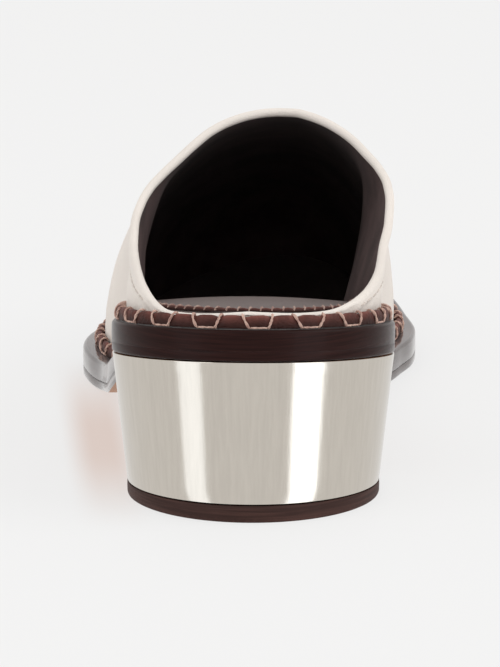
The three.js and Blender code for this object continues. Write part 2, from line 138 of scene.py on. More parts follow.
# Collar on each side: way round from heel back to toe, share of its reach, sideways share, share of its rise
COLLAR_INNER = (
    (0.0, 0.0, 0.0, 0.0),
    (0.12, 0.1, 0.62, -0.04),
    (0.16, 0.15, 0.78, -0.01),
    (0.205, 0.22, 0.925, 0.066),
    (0.262, 0.32, 1.0, 0.158),
    (0.326, 0.452, 1.026, 0.262),
    (0.384, 0.565, 1.06, 0.361),
    (0.436, 0.66, 1.066, 0.464),
    (0.487, 0.74, 1.04, 0.563),
    (0.538, 0.8, 0.968, 0.656),
    (0.59, 0.852, 0.86, 0.744),
    (0.645, 0.896, 0.755, 0.823),
    (0.705, 0.93, 0.635, 0.892),
    (0.775, 0.962, 0.5, 0.946),
    (0.86, 0.986, 0.36, 0.982),
    (0.93, 0.997, 0.26, 0.997),
    (1.0, 1.0, 0.12, 1.0),
)
COLLAR_OUTER = (
    (0.0, 0.0, 0.0, 0.0),
    (0.12, 0.1, -0.62, -0.054),
    (0.16, 0.15, -0.727, -0.005),
    (0.205, 0.21, -0.855, 0.113),
    (0.262, 0.32, -0.932, 0.19),
    (0.326, 0.452, -0.975, 0.268),
    (0.384, 0.565, -0.985, 0.356),
    (0.436, 0.66, -0.955, 0.44),
    (0.487, 0.725, -0.9, 0.518),
    (0.538, 0.78, -0.8, 0.607),
    (0.59, 0.828, -0.675, 0.705),
    (0.645, 0.872, -0.55, 0.803),
    (0.705, 0.912, -0.425, 0.887),
    (0.775, 0.948, -0.285, 0.944),
    (0.86, 0.979, -0.115, 0.983),
    (0.93, 0.995, 0.025, 0.997),
    (1.0, 1.0, 0.12, 1.0),
)

# Ribs of the upper: way round, straight rise at the foot, run and drop left before the collar,
# how free of the heel edge
RIB_SHAPE = (
    (0.0, 0.33, 0.33, 0.33, 0.0),
    (0.08, 0.33, 0.33, 0.33, 0.0),
    (0.25, 0.5, 0.33, 0.25, 1.0),
    (0.4, 0.38, 0.3, 0.33, 1.0),
    (0.5, 0.42, 0.38, 0.3, 1.0),
    (0.6, 0.41, 0.46, 0.29, 1.0),
    (0.75, 0.42, 0.48, 0.28, 1.0),
    (1.0, 0.42, 0.46, 0.27, 1.0),
)

# Soft creases of the upper: side, way round, distance from the collar, reach round, reach down, depth
CREASES = (
    (1, 0.62, 34.0, 0.035, 9.0, 0.45),
    (1, 0.72, 40.0, 0.03, 11.0, 0.35),
    (-1, 0.6, 32.0, 0.035, 9.0, 0.45),
    (-1, 0.7, 38.0, 0.03, 10.0, 0.35),
    (1, 0.46, 18.0, 0.03, 7.0, 0.25),
    (-1, 0.45, 17.0, 0.03, 7.0, 0.3),
)

Station = namedtuple("Station", "x y nx ny side around run")


# Shape of the last and the sole


def reading(rows, column, at):
    """Value of one column of a table between its rows, on a smooth curve that never overshoots a row."""
    last = len(rows) - 1
    if at <= rows[0][0]:
        return rows[0][column]
    if at >= rows[last][0]:
        return rows[last][column]
    row = 0
    while rows[row + 1][0] < at:
        row += 1

    def slope(k):
        return (rows[k + 1][column] - rows[k][column]) / (rows[k + 1][0] - rows[k][0])

    def tangent(k):
        if k == 0:
            return slope(0)
        if k == last:
            return slope(last - 1)
        before, after = slope(k - 1), slope(k)
        return 0.0 if before * after <= 0 else 2 * before * after / (before + after)

    span = rows[row + 1][0] - rows[row][0]
    t = (at - rows[row][0]) / span
    return (
        rows[row][column] * (1 + 2 * t) * (1 - t) ** 2
        + rows[row + 1][column] * t * t * (3 - 2 * t)
        + span * (tangent(row) * t * (1 - t) ** 2 - tangent(row + 1) * t * t * (1 - t))
    )


def smooth(t):
    """Soft step from 0 to 1."""
    t = min(max(t, 0.0), 1.0)
    return t * t * (3 - 2 * t)


def blend(a, b, t):
    """Value between a and b."""
    return a + (b - a) * t


def hump(value, middle, reach):
    """1 at the middle, falling softly to 0 on both sides."""
    return math.exp(-(((value - middle) / reach) ** 2))


def sole_foot(y):
    """Height of the outsole's underside."""
    along = y / SOLE_LENGTH
    return HEEL_RISE * reading(SOLE_PROFILE, 1, along) + TOE_SPRING * reading(SOLE_PROFILE, 2, along)


def midsole_foot(y):
    """Height of the midsole's underside."""
    return sole_foot(y) + OUTSOLE_THICKNESS + GAP


def midsole_top(y):
    """Height of the midsole's top, where the strip, upper and insole stand."""
    return midsole_foot(y) + MIDSOLE_THICKNESS


def lift_top(y):
    """Height of the lift's top, which falls towards the breast."""
    return LIFT_THICKNESS - LIFT_FALL * y / HEEL_LENGTH


def end_rounding(y):
    """Share of the width left towards the heel back and the toe tip."""
    heel = 1 - min(y / HEEL_ROUND, 1)
    toe = 1 - min((SOLE_LENGTH - y) / TOE_ROUND, 1)
    heel_share = (1 - heel**HEEL_ROUND_POWER) ** (1 / HEEL_ROUND_POWER)
    return heel_share * (1 - toe**TOE_ROUND_POWER) ** (1 / TOE_ROUND_POWER)


def sole_side(y, side):
    """Sideways place of the sole's edge."""
    along = y / SOLE_LENGTH
    scaled = [(row[0], row[1] * row[2], row[1] * row[3]) for row in SOLE_OUTLINE]
    return reading(scaled, 1, along) + side * reading(scaled, 2, along) * end_rounding(y)


def sole_loop(steps):
    """Stations round the sole's edge, from the heel back along the inner side to the toe and back."""
    places = [SOLE_LENGTH * (1 - math.cos(math.pi * k / steps)) / 2 for k in range(steps + 1)]
    edge = [(sole_side(y, 1), y) for y in places]
    edge += [(sole_side(y, -1), y) for y in reversed(places[1:-1])]
    count = len(edge)
    stations = []
    run = 0.0
    for index, (x, y) in enumerate(edge):
        before = edge[index - 1]
        after = edge[(index + 1) % count]
        normal = Vector((after[1] - before[1], before[0] - after[0])).normalized()
        if index:
            run += math.dist(before, (x, y))
        side = 1 if index <= steps else -1
        around = min(index, count - index) / steps
        stations.append(Station(x, y, normal.x, normal.y, side, around, run))
    return stations


def inset(station, distance):
    """Point further in than the sole's edge."""
    return station.x - station.nx * distance, station.y - station.ny * distance


def ledge(y):
    """Width of the sole's ledge outside the strip."""
    t = (y - HEEL_LENGTH) / (SOLE_LENGTH * LEDGE_FULL_AT - HEEL_LENGTH)
    return blend(LEDGE_AT_HEEL, LEDGE_AT_BALL, smooth(t))


def upper_inset(y):
    """Sole's edge to the outside of the upper."""
    return ledge(y) + STRIP_THICKNESS + STRIP_CLEARANCE


def lining_inset(y):
    """Sole's edge to the insole."""
    return upper_inset(y) + UPPER_WALL + INSOLE_CLEARANCE


LOOP_STEPS = 150
RIB_SAMPLES = 61
LOOP = sole_loop(LOOP_STEPS)
LOOP_LENGTH = LOOP[-1].run + math.dist(LOOP[-1][:2], LOOP[0][:2])
SHIFT_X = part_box("midsole")[0].x / MM - min(station.x for station in LOOP)
SHIFT_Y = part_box("midsole")[0].y / MM


def station_at(run):
    """Station at a distance round the sole's edge, from the heel back towards the inner side."""
    run %= LOOP_LENGTH
    runs = [station.run for station in LOOP]
    index = int(np.searchsorted(runs, run, side="right")) - 1
    here = LOOP[index]
    after = LOOP[(index + 1) % len(LOOP)]
    end = after.run if after.run > here.run else LOOP_LENGTH
    t = (run - here.run) / (end - here.run)
    parts = [blend(a, b, t) for a, b in zip(here[:4], after[:4])]
    length = math.hypot(parts[2], parts[3])
    around = blend(here.around, after.around, t)
    return Station(parts[0], parts[1], parts[2] / length, parts[3] / length, here.side, around, run)


def rib_ends(station):
    """Foot and collar of the upper's middle surface at one station."""
    rows = COLLAR_INNER if station.side > 0 else COLLAR_OUTER
    foot_x, foot_y = inset(station, upper_inset(station.y) + UPPER_WALL / 2)
    free = reading(RIB_SHAPE, 4, station.around)
    along = reading(rows, 1, station.around) * COLLAR_REACH
    out = reading(rows, 2, station.around) * COLLAR_WIDTH / 2
    up = midsole_top(0) + HEEL_EDGE_HEIGHT + reading(rows, 3, station.around) * COLLAR_RISE
    foot = Vector((foot_x, foot_y, midsole_top(foot_y) + GAP))
    return foot, Vector((blend(foot_x, out, free), blend(foot_y, along, free), up))


def rib_points(station, shares):
    """Points of one rib by distance from the collar: first those near it, then even steps to the foot."""
    foot, collar = rib_ends(station)
    height = collar.z - foot.z
    rise, reach, drop = (reading(RIB_SHAPE, column, station.around) for column in (1, 2, 3))
    low = foot + Vector((0, 0, rise * height))
    high = Vector((blend(collar.x, foot.x, reach), blend(collar.y, foot.y, reach), collar.z - drop * height))
    t = np.linspace(0, 1, RIB_SAMPLES)[:, None]
    corners = [np.array(corner) for corner in (foot, low, high, collar)]
    curve = corners[0] * (1 - t) ** 3 + 3 * corners[1] * t * (1 - t) ** 2
    curve = curve + 3 * corners[2] * t * t * (1 - t) + corners[3] * t**3
    steps = np.linalg.norm(np.diff(curve, axis=0), axis=1)
    length = np.concatenate([[0], np.cumsum(steps)])
    near = np.array(FOLD_ROWS) * min(1.0, length[-1] / FOLD_SPAN)
    rest = near[-1] + (length[-1] - near[-1]) * np.linspace(0, 1, shares + 1)[1:]
    distances = np.concatenate([near, rest])
    places = length[-1] - distances
    points = np.stack([np.interp(places, length, curve[:, axis]) for axis in range(3)], axis=1)
    return points, distances


# Making meshes

MERGE_WITHIN = 2e-6
THIN_FACE = 1e-6
PLY_GUIDE = (0.31, 0.17, 0.94)
PLY_OFFSET = 0.22
THREAD_ROUNDNESS = 1
CORNER_TURNS = [math.radians(turn) for turn in (0, 22, 45, 68, 90)]


def only(*pieces):
    """Selects these pieces alone and makes the first one active."""
    bpy.ops.object.select_all(action="DESELECT")
    for piece in pieces:
        piece.select_set(True)
    if pieces:
        bpy.context.view_layer.objects.active = pieces[0]


def sheet(name, rows, finish, round_closed=False, across_closed=False):
    """Grid primitive whose rows of vertices are moved onto rows of points."""
    rows = [list(row) + ([row[0]] if across_closed else []) for row in rows]
    if round_closed:
        rows = rows + [rows[0]]
    only()
    bpy.ops.mesh.primitive_grid_add(x_subdivisions=len(rows[0]) - 1, y_subdivisions=len(rows) - 1, size=1)
    piece = bpy.context.active_object
    piece.name = name
    piece.data.name = name
    places = [((x + SHIFT_X) * MM, (y + SHIFT_Y) * MM, z * MM) for row in rows for x, y, z in row]
    piece.data.vertices.foreach_set("co", np.array(places, np.float32).ravel())
    piece.data.materials.append(finish)
    return piece


def sewn(name, sheets, angle):
    """One closed piece from sheets that share their edges."""
    only(*sheets)
    if len(sheets) > 1:
        bpy.ops.object.join()
    piece = bpy.context.active_object
    piece.name = name
    piece.data.name = name
    bpy.ops.object.mode_set(mode="EDIT")
    bpy.ops.mesh.select_all(action="SELECT")
    bpy.ops.mesh.remove_doubles(threshold=MERGE_WITHIN)
    bpy.ops.mesh.dissolve_degenerate(threshold=THIN_FACE)
    bpy.ops.mesh.normals_make_consistent(inside=False)
    bpy.ops.object.mode_set(mode="OBJECT")
    bpy.ops.object.shade_smooth_by_angle(angle=math.radians(angle))
    return piece


def finished(piece, slot, *nodes):
    """Puts a piece on the shoe in place of the solids that it stands for."""
    only(piece)
    bpy.ops.object.transform_apply(location=True, rotation=True, scale=True)
    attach(piece, "root")
    if nodes:
        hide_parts(*nodes)
    only()
    return piece


def across_cap(name, ring, finish):
    """Sheet over the inside of a ring of the sole, in rows from side to side."""
    across = 10
    half = len(ring) // 2
    rows = []
    for index in range(half + 1):
        inner = ring[index]
        outer = ring[(len(ring) - index) % len(ring)]
        rows.append([[blend(a, b, k / across) for a, b in zip(inner, outer)] for k in range(across + 1)])
    return sheet(name, rows, finish)


def sole_ring(distance, height):
    """Ring round the sole at a distance in from its edge, with its height as a rule over y."""
    ring = []
    for station in LOOP:
        x, y = inset(station, distance(station.y))
        ring.append((x, y, height(y)))
    return ring


def rounded(radius):
    """Steps in from an edge's side and down from its top, as its corner turns over a radius."""
    return [(radius * (1 - math.cos(turn)), radius * (1 - math.sin(turn))) for turn in CORNER_TURNS]


def sole_layer(name, rings, edge, cap, under):
    """Layer of the sole from its rings: edge all round, cap on top and under side below."""
    rows = [[ring[index] for ring in rings] for index in range(len(LOOP))]
    side = sheet(name + "_side", rows, edge, round_closed=True)
    top = across_cap(name + "_top", rings[-1], cap)
    base = across_cap(name + "_base", rings[0], under)
    return sewn(name, [side, top, base], angle=50.0)


def strand(points, turns, offset, start, steps):
    """One ply twisted round a smooth line through points."""
    line = np.array(points, float)
    padded = np.vstack([2 * line[0] - line[1], line, 2 * line[-1] - line[-2]])
    curve = []
    spans = len(line) - 1
    for k in range(steps + 1):
        place = min(k / steps * spans, spans - 1e-6)
        index = int(place)
        t = place - index
        a, b, c, d = padded[index : index + 4]
        bend = (2 * a - 5 * b + 4 * c - d) * t * t + (3 * b - a - 3 * c + d) * t**3
        curve.append(0.5 * (2 * b + (c - a) * t + bend))
    curve = np.array(curve)
    along = np.gradient(curve, axis=0)
    along /= np.linalg.norm(along, axis=1)[:, None]
    side = np.cross(along, PLY_GUIDE)
    side /= np.linalg.norm(side, axis=1)[:, None]
    other = np.cross(along, side)
    turn = start + turns * 2 * math.pi * np.linspace(0, 1, steps + 1)
    return curve + offset * (side * np.cos(turn)[:, None] + other * np.sin(turn)[:, None])


def threads(name, lines, radius, finish):
    """Thread along many short lines, made as one curve and turned into a mesh."""
    only()
    curve = bpy.data.curves.new(name, "CURVE")
    curve.dimensions = "3D"
    curve.bevel_depth = radius * MM
    curve.bevel_resolution = THREAD_ROUNDNESS
    curve.use_fill_caps = True
    for line in lines:
        spline = curve.splines.new("POLY")
        spline.points.add(len(line) - 1)
        for point, (x, y, z) in zip(spline.points, line):
            point.co = ((x + SHIFT_X) * MM, (y + SHIFT_Y) * MM, z * MM, 1.0)
    piece = bpy.data.objects.new(name, curve)
    bpy.context.scene.collection.objects.link(piece)
    only(piece)
    bpy.ops.object.convert(target="MESH")
    piece = bpy.context.active_object
    piece.name = name
    piece.data.name = name
    piece.data.materials.clear()
    piece.data.materials.append(finish)
    bpy.ops.object.shade_smooth()
    return piece


def plies(points, thickness, turns, steps):
    """Two plies twisted into one thread along a line."""
    offset = thickness * PLY_OFFSET
    return [strand(points, turns, offset, start, steps) for start in (0.0, math.pi)]


# Making finishes


class Reading:
    """A node's output that takes part in sums."""

    def __init__(self, finish, socket):
        self.finish = finish
        self.socket = socket

    def _sum(self, operation, first, second):
        return self.finish.add("ShaderNodeMath", {"operation": operation}, {0: first, 1: second})

    def __add__(self, other):
        return self._sum("ADD", self, other)

    def __radd__(self, other):
        return self._sum("ADD", other, self)

    def __sub__(self, other):
        return self._sum("SUBTRACT", self, other)

    def __rsub__(self, other):
        return self._sum("SUBTRACT", other, self)

    def __mul__(self, other):
        return self._sum("MULTIPLY", self, other)

    def __rmul__(self, other):
        return self._sum("MULTIPLY", other, self)

    def __abs__(self):
        return self._sum("ABSOLUTE", self, 0.0)

    def over(self, low, high):
        """Soft step from 0 at low to 1 at high."""
        settings = {"interpolation_type": "SMOOTHSTEP"}
        sockets = {"Value": self, "From Min": low, "From Max": high}
        return self.finish.add("ShaderNodeMapRange", settings, sockets)


class Finish:
    """One material and the nodes in it."""

    def __init__(self, name):
        self.material = bpy.data.materials.new(name)
        self.material.use_nodes = True
        self.tree = self.material.node_tree
        self.tree.nodes.clear()

    def add(self, kind, settings=None, sockets=None, outlet=0):
        """A node of this kind, with its settings first and then its sockets."""
        node = self.tree.nodes.new(kind)
        for key, value in (settings or {}).items():
            setattr(node, key, value)
        for key, value in (sockets or {}).items():
            if isinstance(value, Reading):
                self.tree.links.new(value.socket, node.inputs[key])
            else:
                node.inputs[key].default_value = value
        return Reading(self, node.outputs[outlet])

    def place(self, scale):
        """Object coordinates in metres, stretched by a scale."""
        where = self.add("ShaderNodeTexCoord", outlet="Object")
        return self.add("ShaderNodeMapping", {}, {"Vector": where, "Scale": scale})

    def noise(self, scale, detail=2.0, rough=0.5, stretch=(1.0, 1.0, 1.0)):
        """Noise on the object's own coordinates."""
        sockets = {"Vector": self.place(stretch), "Scale": scale, "Detail": detail, "Roughness": rough}
        return self.add("ShaderNodeTexNoise", {}, sockets)

    def cells(self, scale, stretch=(1.0, 1.0, 1.0)):
        """Distance to the edge of cells on the object's own coordinates."""
        sockets = {"Vector": self.place(stretch), "Scale": scale}
        return self.add("ShaderNodeTexVoronoi", {"feature": "DISTANCE_TO_EDGE"}, sockets)

    def axis(self, name):
        """One object coordinate in metres."""
        where = self.add("ShaderNodeTexCoord", outlet="Object")
        return self.add("ShaderNodeSeparateXYZ", {}, {0: where}, outlet=name)

    def surface_way(self, name):
        """One coordinate of the piece's own UV map."""
        where = self.add("ShaderNodeTexCoord", outlet="UV")
        return self.add("ShaderNodeSeparateXYZ", {}, {0: where}, outlet=name)

    def mixed(self, share, first, second):
        """Colour between two others."""
        shades = [(*shade, 1.0) if isinstance(shade, tuple) else shade for shade in (first, second)]
        sockets = {0: share, 6: shades[0], 7: shades[1]}
        return self.add("ShaderNodeMix", {"data_type": "RGBA"}, sockets, outlet=2)

    def toned(self, mask, colour, low, high):
        """A colour's darker version where the mask is 0 and its lighter one where it is 1."""
        return self.mixed(mask, shade(colour, low), shade(colour, high))

    def bump(self, height, distance):
        """Normal from a height, with its depth in millimetres."""
        return self.add("ShaderNodeBump", {}, {"Height": height, "Distance": distance * MM, "Strength": 1.0})

    def coated(self, sockets):
        """Closes the material with its surface and gives it back."""
        shader = self.add("ShaderNodeBsdfPrincipled", {}, sockets)
        self.add_output(shader)
        return self.material

    def add_output(self, shader):
        """Joins the surface to the material's output."""
        node = self.tree.nodes.new("ShaderNodeOutputMaterial")
        self.tree.links.new(shader.socket, node.inputs["Surface"])


def shade(colour, factor):
    """A lighter or darker version of a colour."""
    return tuple(min(1.0, part * factor) for part in colour)


def leather(name, colour, grain, roughness, relief, variation):
    """Grained leather: fine cells, soft mottling and slightly uneven gloss."""
    finish = Finish(name)
    cells = finish.cells(1000.0 / grain)
    pores = finish.noise(2600.0, 3.0, 0.6)
    mottle = finish.noise(38.0, 4.0, 0.55)
    cloud = finish.noise(9.0, 2.0, 0.5)
    base = finish.toned(mottle.over(0.3, 0.7), colour, 1 - variation, 1 + variation * 0.6)
    base = finish.mixed(cloud.over(0.35, 0.75) * 0.35, base, shade(colour, 1 - variation * 1.4))
    base = finish.mixed((1 - cells.over(0.0, 0.12)) * 0.25, base, shade(colour, 0.8))
    height = cells.over(0.0, 0.22) + pores * 0.35
    sockets = {
        "Base Color": base,
        "Roughness": roughness - 0.06 + mottle * 0.12,
        "Normal": finish.bump(height, relief),
    }
    return finish.coated(sockets)


def lining_finish(colour):
    """Dark suede-like lining with a short nap."""
    finish = Finish("dark_lining")
    nap = finish.noise(1900.0, 4.0, 0.7)
    brushed = finish.noise(60.0, 3.0, 0.6)
    base = finish.toned(brushed.over(0.3, 0.7), colour, 0.7, 1.35)
    sockets = {
        "Base Color": base,
        "Roughness": 0.72 + nap * 0.12,
        "Normal": finish.bump(nap, 0.06),
        "Sheen Weight": 0.04,
        "Specular IOR Level": 0.15,
    }
    return finish.coated(sockets)


def strip_finish(colour):
    """Waxed brown strip, with painted shade towards its foot and a painted highlight along its top."""
    finish = Finish("strip_leather")
    across = finish.surface_way("X")
    foot = 1 - across.over(0.05, 0.36)
    crest_highlight = across.over(0.3, 0.42) * (1 - across.over(0.5, 0.66))
    creases = finish.cells(620.0, stretch=(1.0, 1.0, 1.6))
    mottle = finish.noise(240.0, 4.0, 0.6)
    base = finish.toned(mottle.over(0.3, 0.7), colour, 0.7, 1.3)
    # Painted shade: the strip darkens towards its foot, where the midsole's shadow falls.
    base = finish.mixed(foot * 0.85, base, shade(colour, 0.2))
    # Painted highlight: patches along the strip's top are lightened, as if lit glossy lumps.
    base = finish.mixed(crest_highlight * mottle.over(0.4, 0.65) * 0.6, base, shade(colour, 2.0))
    height = creases.over(0.0, 0.3) + finish.noise(1500.0, 3.0) * 0.4
    sockets = {
        "Base Color": base,
        "Roughness": 0.38 + mottle * 0.2,
        "Normal": finish.bump(height, 0.08),
        "Specular IOR Level": 0.12,
    }
    return finish.coated(sockets)


def thread_finish(name, colour, stain):
    """Waxed thread with fine fibres, a little stained in patches."""
    finish = Finish(name)
    fibre = finish.noise(5200.0, 3.0, 0.65)
    tone = finish.noise(420.0, 3.0, 0.6)
    base = finish.toned(fibre.over(0.3, 0.7), colour, 0.8, 1.12)
    base = finish.mixed(tone.over(0.42, 0.7) * 0.6, base, stain)
    sockets = {
        "Base Color": base,
        "Roughness": 0.6 + fibre * 0.15,
        "Normal": finish.bump(fibre, 0.04),
        "Sheen Weight": 0.15,
    }
    return finish.coated(sockets)


def edge_finish(name, colour, roughness, coat):
    """Burnished sole edge: fibres drawn along it under a dressing, glossier ahead of the waist, where its
    colour is also lightened as a painted sheen.
    """
    finish = Finish(name)
    fibres = finish.noise(55.0, 5.0, 0.65, stretch=(1.0, 1.0, 42.0))
    fine = finish.noise(190.0, 4.0, 0.7, stretch=(1.0, 1.0, 26.0))
    rubs = finish.noise(24.0, 3.0, 0.5)
    base = finish.toned(fibres.over(0.35, 0.7), colour, 0.75, 1.4)
    base = finish.mixed(fine.over(0.55, 0.8) * 0.3, base, shade(colour, 2.0))
    ahead = finish.axis("Y").over(-0.06, 0.01)
    # Painted sheen: ahead of the waist the base colour is lightened, besides the coat being raised.
    base = finish.mixed(ahead * 0.3, base, shade(colour, 2.5))
    height = fibres * 0.7 + fine * 0.5
    sockets = {
        "Base Color": base,
        "Roughness": roughness + rubs * 0.14 + fine * 0.08,
        "Normal": finish.bump(height, 0.07),
        "Coat Weight": coat + ahead * 0.9,
        "Coat IOR": 1.9,
        "Coat Roughness": 0.1,
        "Specular IOR Level": 0.06,
        "Sheen Weight": 0.5,
        "Sheen Roughness": 0.25,
    }
    return finish.coated(sockets)


def tan_finish(colour):
    """Natural sole leather: short fibres, faint cloudy patches and a few scuffs."""
    finish = Finish("tan_sole")
    fibres = finish.noise(620.0, 4.0, 0.7, stretch=(1.0, 0.35, 1.0))
    cloud = finish.noise(22.0, 4.0, 0.55)
    scuffs = finish.noise(90.0, 6.0, 0.75, stretch=(0.3, 2.2, 1.0))
    base = finish.toned(cloud.over(0.3, 0.7), colour, 0.84, 1.1)
    base = finish.mixed(fibres.over(0.5, 0.75) * 0.3, base, shade(colour, 0.7))
    base = finish.mixed(scuffs.over(0.62, 0.78) * 0.35, base, shade(colour, 0.62))
    sockets = {
        "Base Color": base,
        "Roughness": 0.46 + cloud * 0.14 + scuffs * 0.1,
        "Normal": finish.bump(fibres + scuffs * 0.6, 0.06),
        "Specular IOR Level": 0.45,
    }
    return finish.coated(sockets)


def metal_finish(colour, roughness, seam_y, seam_lean):
    """Polished metal skin: upright drawing marks, soft smudges and the wrap's seam by the breast."""
    finish = Finish("heel_metal")
    drawn = finish.noise(150.0, 4.0, 0.6, stretch=(6.0, 6.0, 0.12))
    fine = finish.noise(1300.0, 3.0, 0.6, stretch=(1.0, 1.0, 0.03))
    smudge = finish.noise(48.0, 3.0, 0.5)
    marks = finish.noise(420.0, 6.0, 0.8, stretch=(0.5, 0.5, 1.8))
    away = abs(finish.axis("Y") - seam_y - seam_lean * finish.axis("Z"))
    seam = (1 - away.over(0.0001, 0.00022)) * (1 - finish.axis("X").over(-0.004, 0.0))
    base = finish.toned(drawn.over(0.25, 0.75), colour, 0.96, 1.03)
    base = finish.mixed(seam, base, shade(colour, 0.25))
    sockets = {
        "Base Color": base,
        "Metallic": 1.0,
        "Roughness": roughness + smudge * 0.05 + fine * 0.05 + marks.over(0.66, 0.8) * 0.12 + seam * 0.3,
        "Normal": finish.bump(fine * 0.4 + drawn * 0.6 - seam * 6.0, 0.012),
    }
    return finish.coated(sockets)


def lift_finish(colour):
    """Top lift: matt dressed edge with faint layers and rubbed corners by the floor."""
    finish = Finish("lift_rubber")
    layers = finish.noise(46.0, 4.0, 0.6, stretch=(1.0, 1.0, 30.0))
    grit = finish.noise(900.0, 4.0, 0.7)
    low = 1 - finish.axis("Z").over(0.0002, 0.0016)
    base = finish.toned(layers.over(0.35, 0.7), colour, 0.75, 1.35)
    base = finish.mixed(low * grit.over(0.4, 0.7) * 0.6, base, shade(colour, 1.9))
    sockets = {
        "Base Color": base,
        "Roughness": 0.5 + grit * 0.16,
        "Normal": finish.bump(grit * 0.5 + layers, 0.06),
        "Specular IOR Level": 0.12,
    }
    return finish.coated(sockets)


# The floor's own light and middle, and the painted warm shadow beside the heel: sizes in metres, colours and
# strength
FLOOR_GLOW = 0.8
FLOOR_AHEAD = 8.0
FLOOR_LIGHT = (0.888, 0.886, 0.884, 1.0)
CAST_SHADOW_COLOUR = (0.63, 0.45, 0.37, 1.0)
CAST_BESIDE = 0.0385
CAST_LEAN = 0.1
CAST_BEHIND = 0.035
CAST_STRENGTH = 0.6


def floor_finish(tone):
    """Plain pale floor with a painted warm shadow beside the heel, standing in for the tan sole's shade and
    bounce.
    """
    finish = Finish("studio_floor")
    cloud = finish.noise(1.3, 2.0, 0.5)
    base = finish.mixed(cloud, (tone * 0.995,) * 3, (tone,) * 3)
    surface = {"Base Color": base, "Roughness": 0.6, "Specular IOR Level": 0.1}
    plain = finish.add("ShaderNodeBsdfPrincipled", {}, surface)
    glow = finish.add("ShaderNodeEmission", {}, {"Color": FLOOR_LIGHT, "Strength": 1.0})
    pale = finish.add("ShaderNodeMixShader", {}, {0: FLOOR_GLOW, 1: plain, 2: glow})
    ahead = finish.axis("Y") + FLOOR_AHEAD
    # Painted shadow: a soft warm patch beside the heel, darker and warmer than the floor.
    beside = abs(finish.axis("X") + CAST_BESIDE + ahead * CAST_LEAN)
    along = abs(ahead + CAST_BEHIND)
    painted_cast = (1 - beside.over(0.002, 0.011)) * (1 - along.over(0.01, 0.1)) * CAST_STRENGTH
    painted_shadow = finish.add("ShaderNodeEmission", {}, {"Color": CAST_SHADOW_COLOUR, "Strength": 1.0})
    finish.add_output(finish.add("ShaderNodeMixShader", {}, {0: painted_cast, 1: pale, 2: painted_shadow}))
    return finish.material


# Sizes and colours


def metres(name, description, default):
    """A length that the sidebar shows."""
    return bpy.props.FloatProperty(
        name=name, description=description, default=default, min=0.0, max=0.1, unit="LENGTH", precision=5
    )


def colour(name, description, default):
    """A colour that the sidebar shows."""
    return bpy.props.FloatVectorProperty(
        name=name, description=description, default=default, size=3, min=0.0, max=1.0, subtype="COLOR"
    )


def factor(name, description, default, high=1.0):
    """A plain number that the sidebar shows."""
    return bpy.props.FloatProperty(name=name, description=description, default=default, min=0.0, max=high)


class MuleUpperSettings(bpy.types.PropertyGroup):
    """Sizes and colours of the upper and its lining."""

    fold_stitch_in: metres("Fold stitch", "Collar's edge to the line of stitches", 0.0023)
    fold_stitch_length: metres("Stitch length", "Length of one stitch along the collar", 0.0024)
    fold_stitch_pitch: metres("Stitch pitch", "One stitch to the next along the collar", 0.0030)
    groove: metres("Groove", "Depth of the groove that the stitches pull in", 0.0003)
    pucker: metres("Pucker", "Depth of the dimple over each whip stitch", 0.00045)
    leather: colour("Upper leather", "Cream leather of the upper", (0.75, 0.69, 0.635))
    lining: colour("Lining", "Dark lining of the upper", (0.062, 0.039, 0.037))
    thread: colour("Collar thread", "Thread along the collar", (0.62, 0.55, 0.49))


class MuleStripSettings(bpy.types.PropertyGroup):
    """Sizes and colours of the stitched strip."""

    pitch: metres("Pair pitch", "One pair of whip stitches to the next", 0.01335)
    first: metres("First pair", "Heel back to the middle of the first pair, towards the inner side", 0.00265)
    foot_half: metres("Foot spread", "Half the distance between a pair's feet", 0.0025)
    top_half: metres("Top spread", "Half the distance between a pair's tops", 0.0040)
    thickness: metres("Thread thickness", "Thickness of the whip stitches' thread", 0.00072)
    pinch: metres("Pinch", "How far a stitch presses the strip in", 0.0004)
    leather: colour("Strip leather", "Brown leather of the strip and binding", (0.1, 0.034, 0.027))
    thread: colour("Whip thread", "Thread of the whip stitches", (0.56, 0.37, 0.3))


class MuleSoleSettings(bpy.types.PropertyGroup):
    """Colours of the sole's layers and the insole."""

    insole: colour("Insole", "Grey brown leather of the insole", (0.132, 0.1, 0.093))
    edge: colour("Sole edge", "Dressed edge of the midsole and outsole", (0.0185, 0.006, 0.005))
    under: colour("Underside", "Natural leather under the shoe", (0.47, 0.255, 0.155))


class MuleHeelSettings(bpy.types.PropertyGroup):
    """Colours and gloss of the heel and its lift."""

    metal: colour("Metal", "Skin of the heel", (0.625, 0.58, 0.52))
    roughness: factor("Metal roughness", "How soft reflections are in the heel", 0.09)
    lift: colour("Top lift", "Wearing piece under the heel", (0.046, 0.022, 0.018))


class MuleStageSettings(bpy.types.PropertyGroup):
    """Camera, lights and floor."""

    lens: bpy.props.FloatProperty(
        name="Lens", description="Focal length", default=345.0, min=1.0, subtype="DISTANCE_CAMERA"
    )
    floor: factor("Floor tone", "How pale the floor is", 0.83)
    world: factor("Surround", "Strength of the light from all round", 0.84, 5.0)
    key: factor("Key light", "Power of the large light over the inner side, in watts", 11.0, 500.0)
    card: factor("Heel cards", "Brightness of the two cards that the heel mirrors", 2.3, 20.0)


def settings(name):
    """One group of settings in the scene."""
    return getattr(bpy.context.scene, "mule_" + name)


# Upper

# Rows below the collar in millimetres, rows of the body, turns of the rim and rows of leather inside it
FOLD_ROWS = (0.0, 0.35, 0.8, 1.3, 1.7, 2.0, 2.3, 2.6, 2.95, 3.5, 4.4, 5.8, 7.6)
FOLD_SPAN = 15.0
BODY_ROWS = 20
RIM_TURNS = (20, 45, 70, 90, 110, 135, 160)
LINING_STARTS = 2

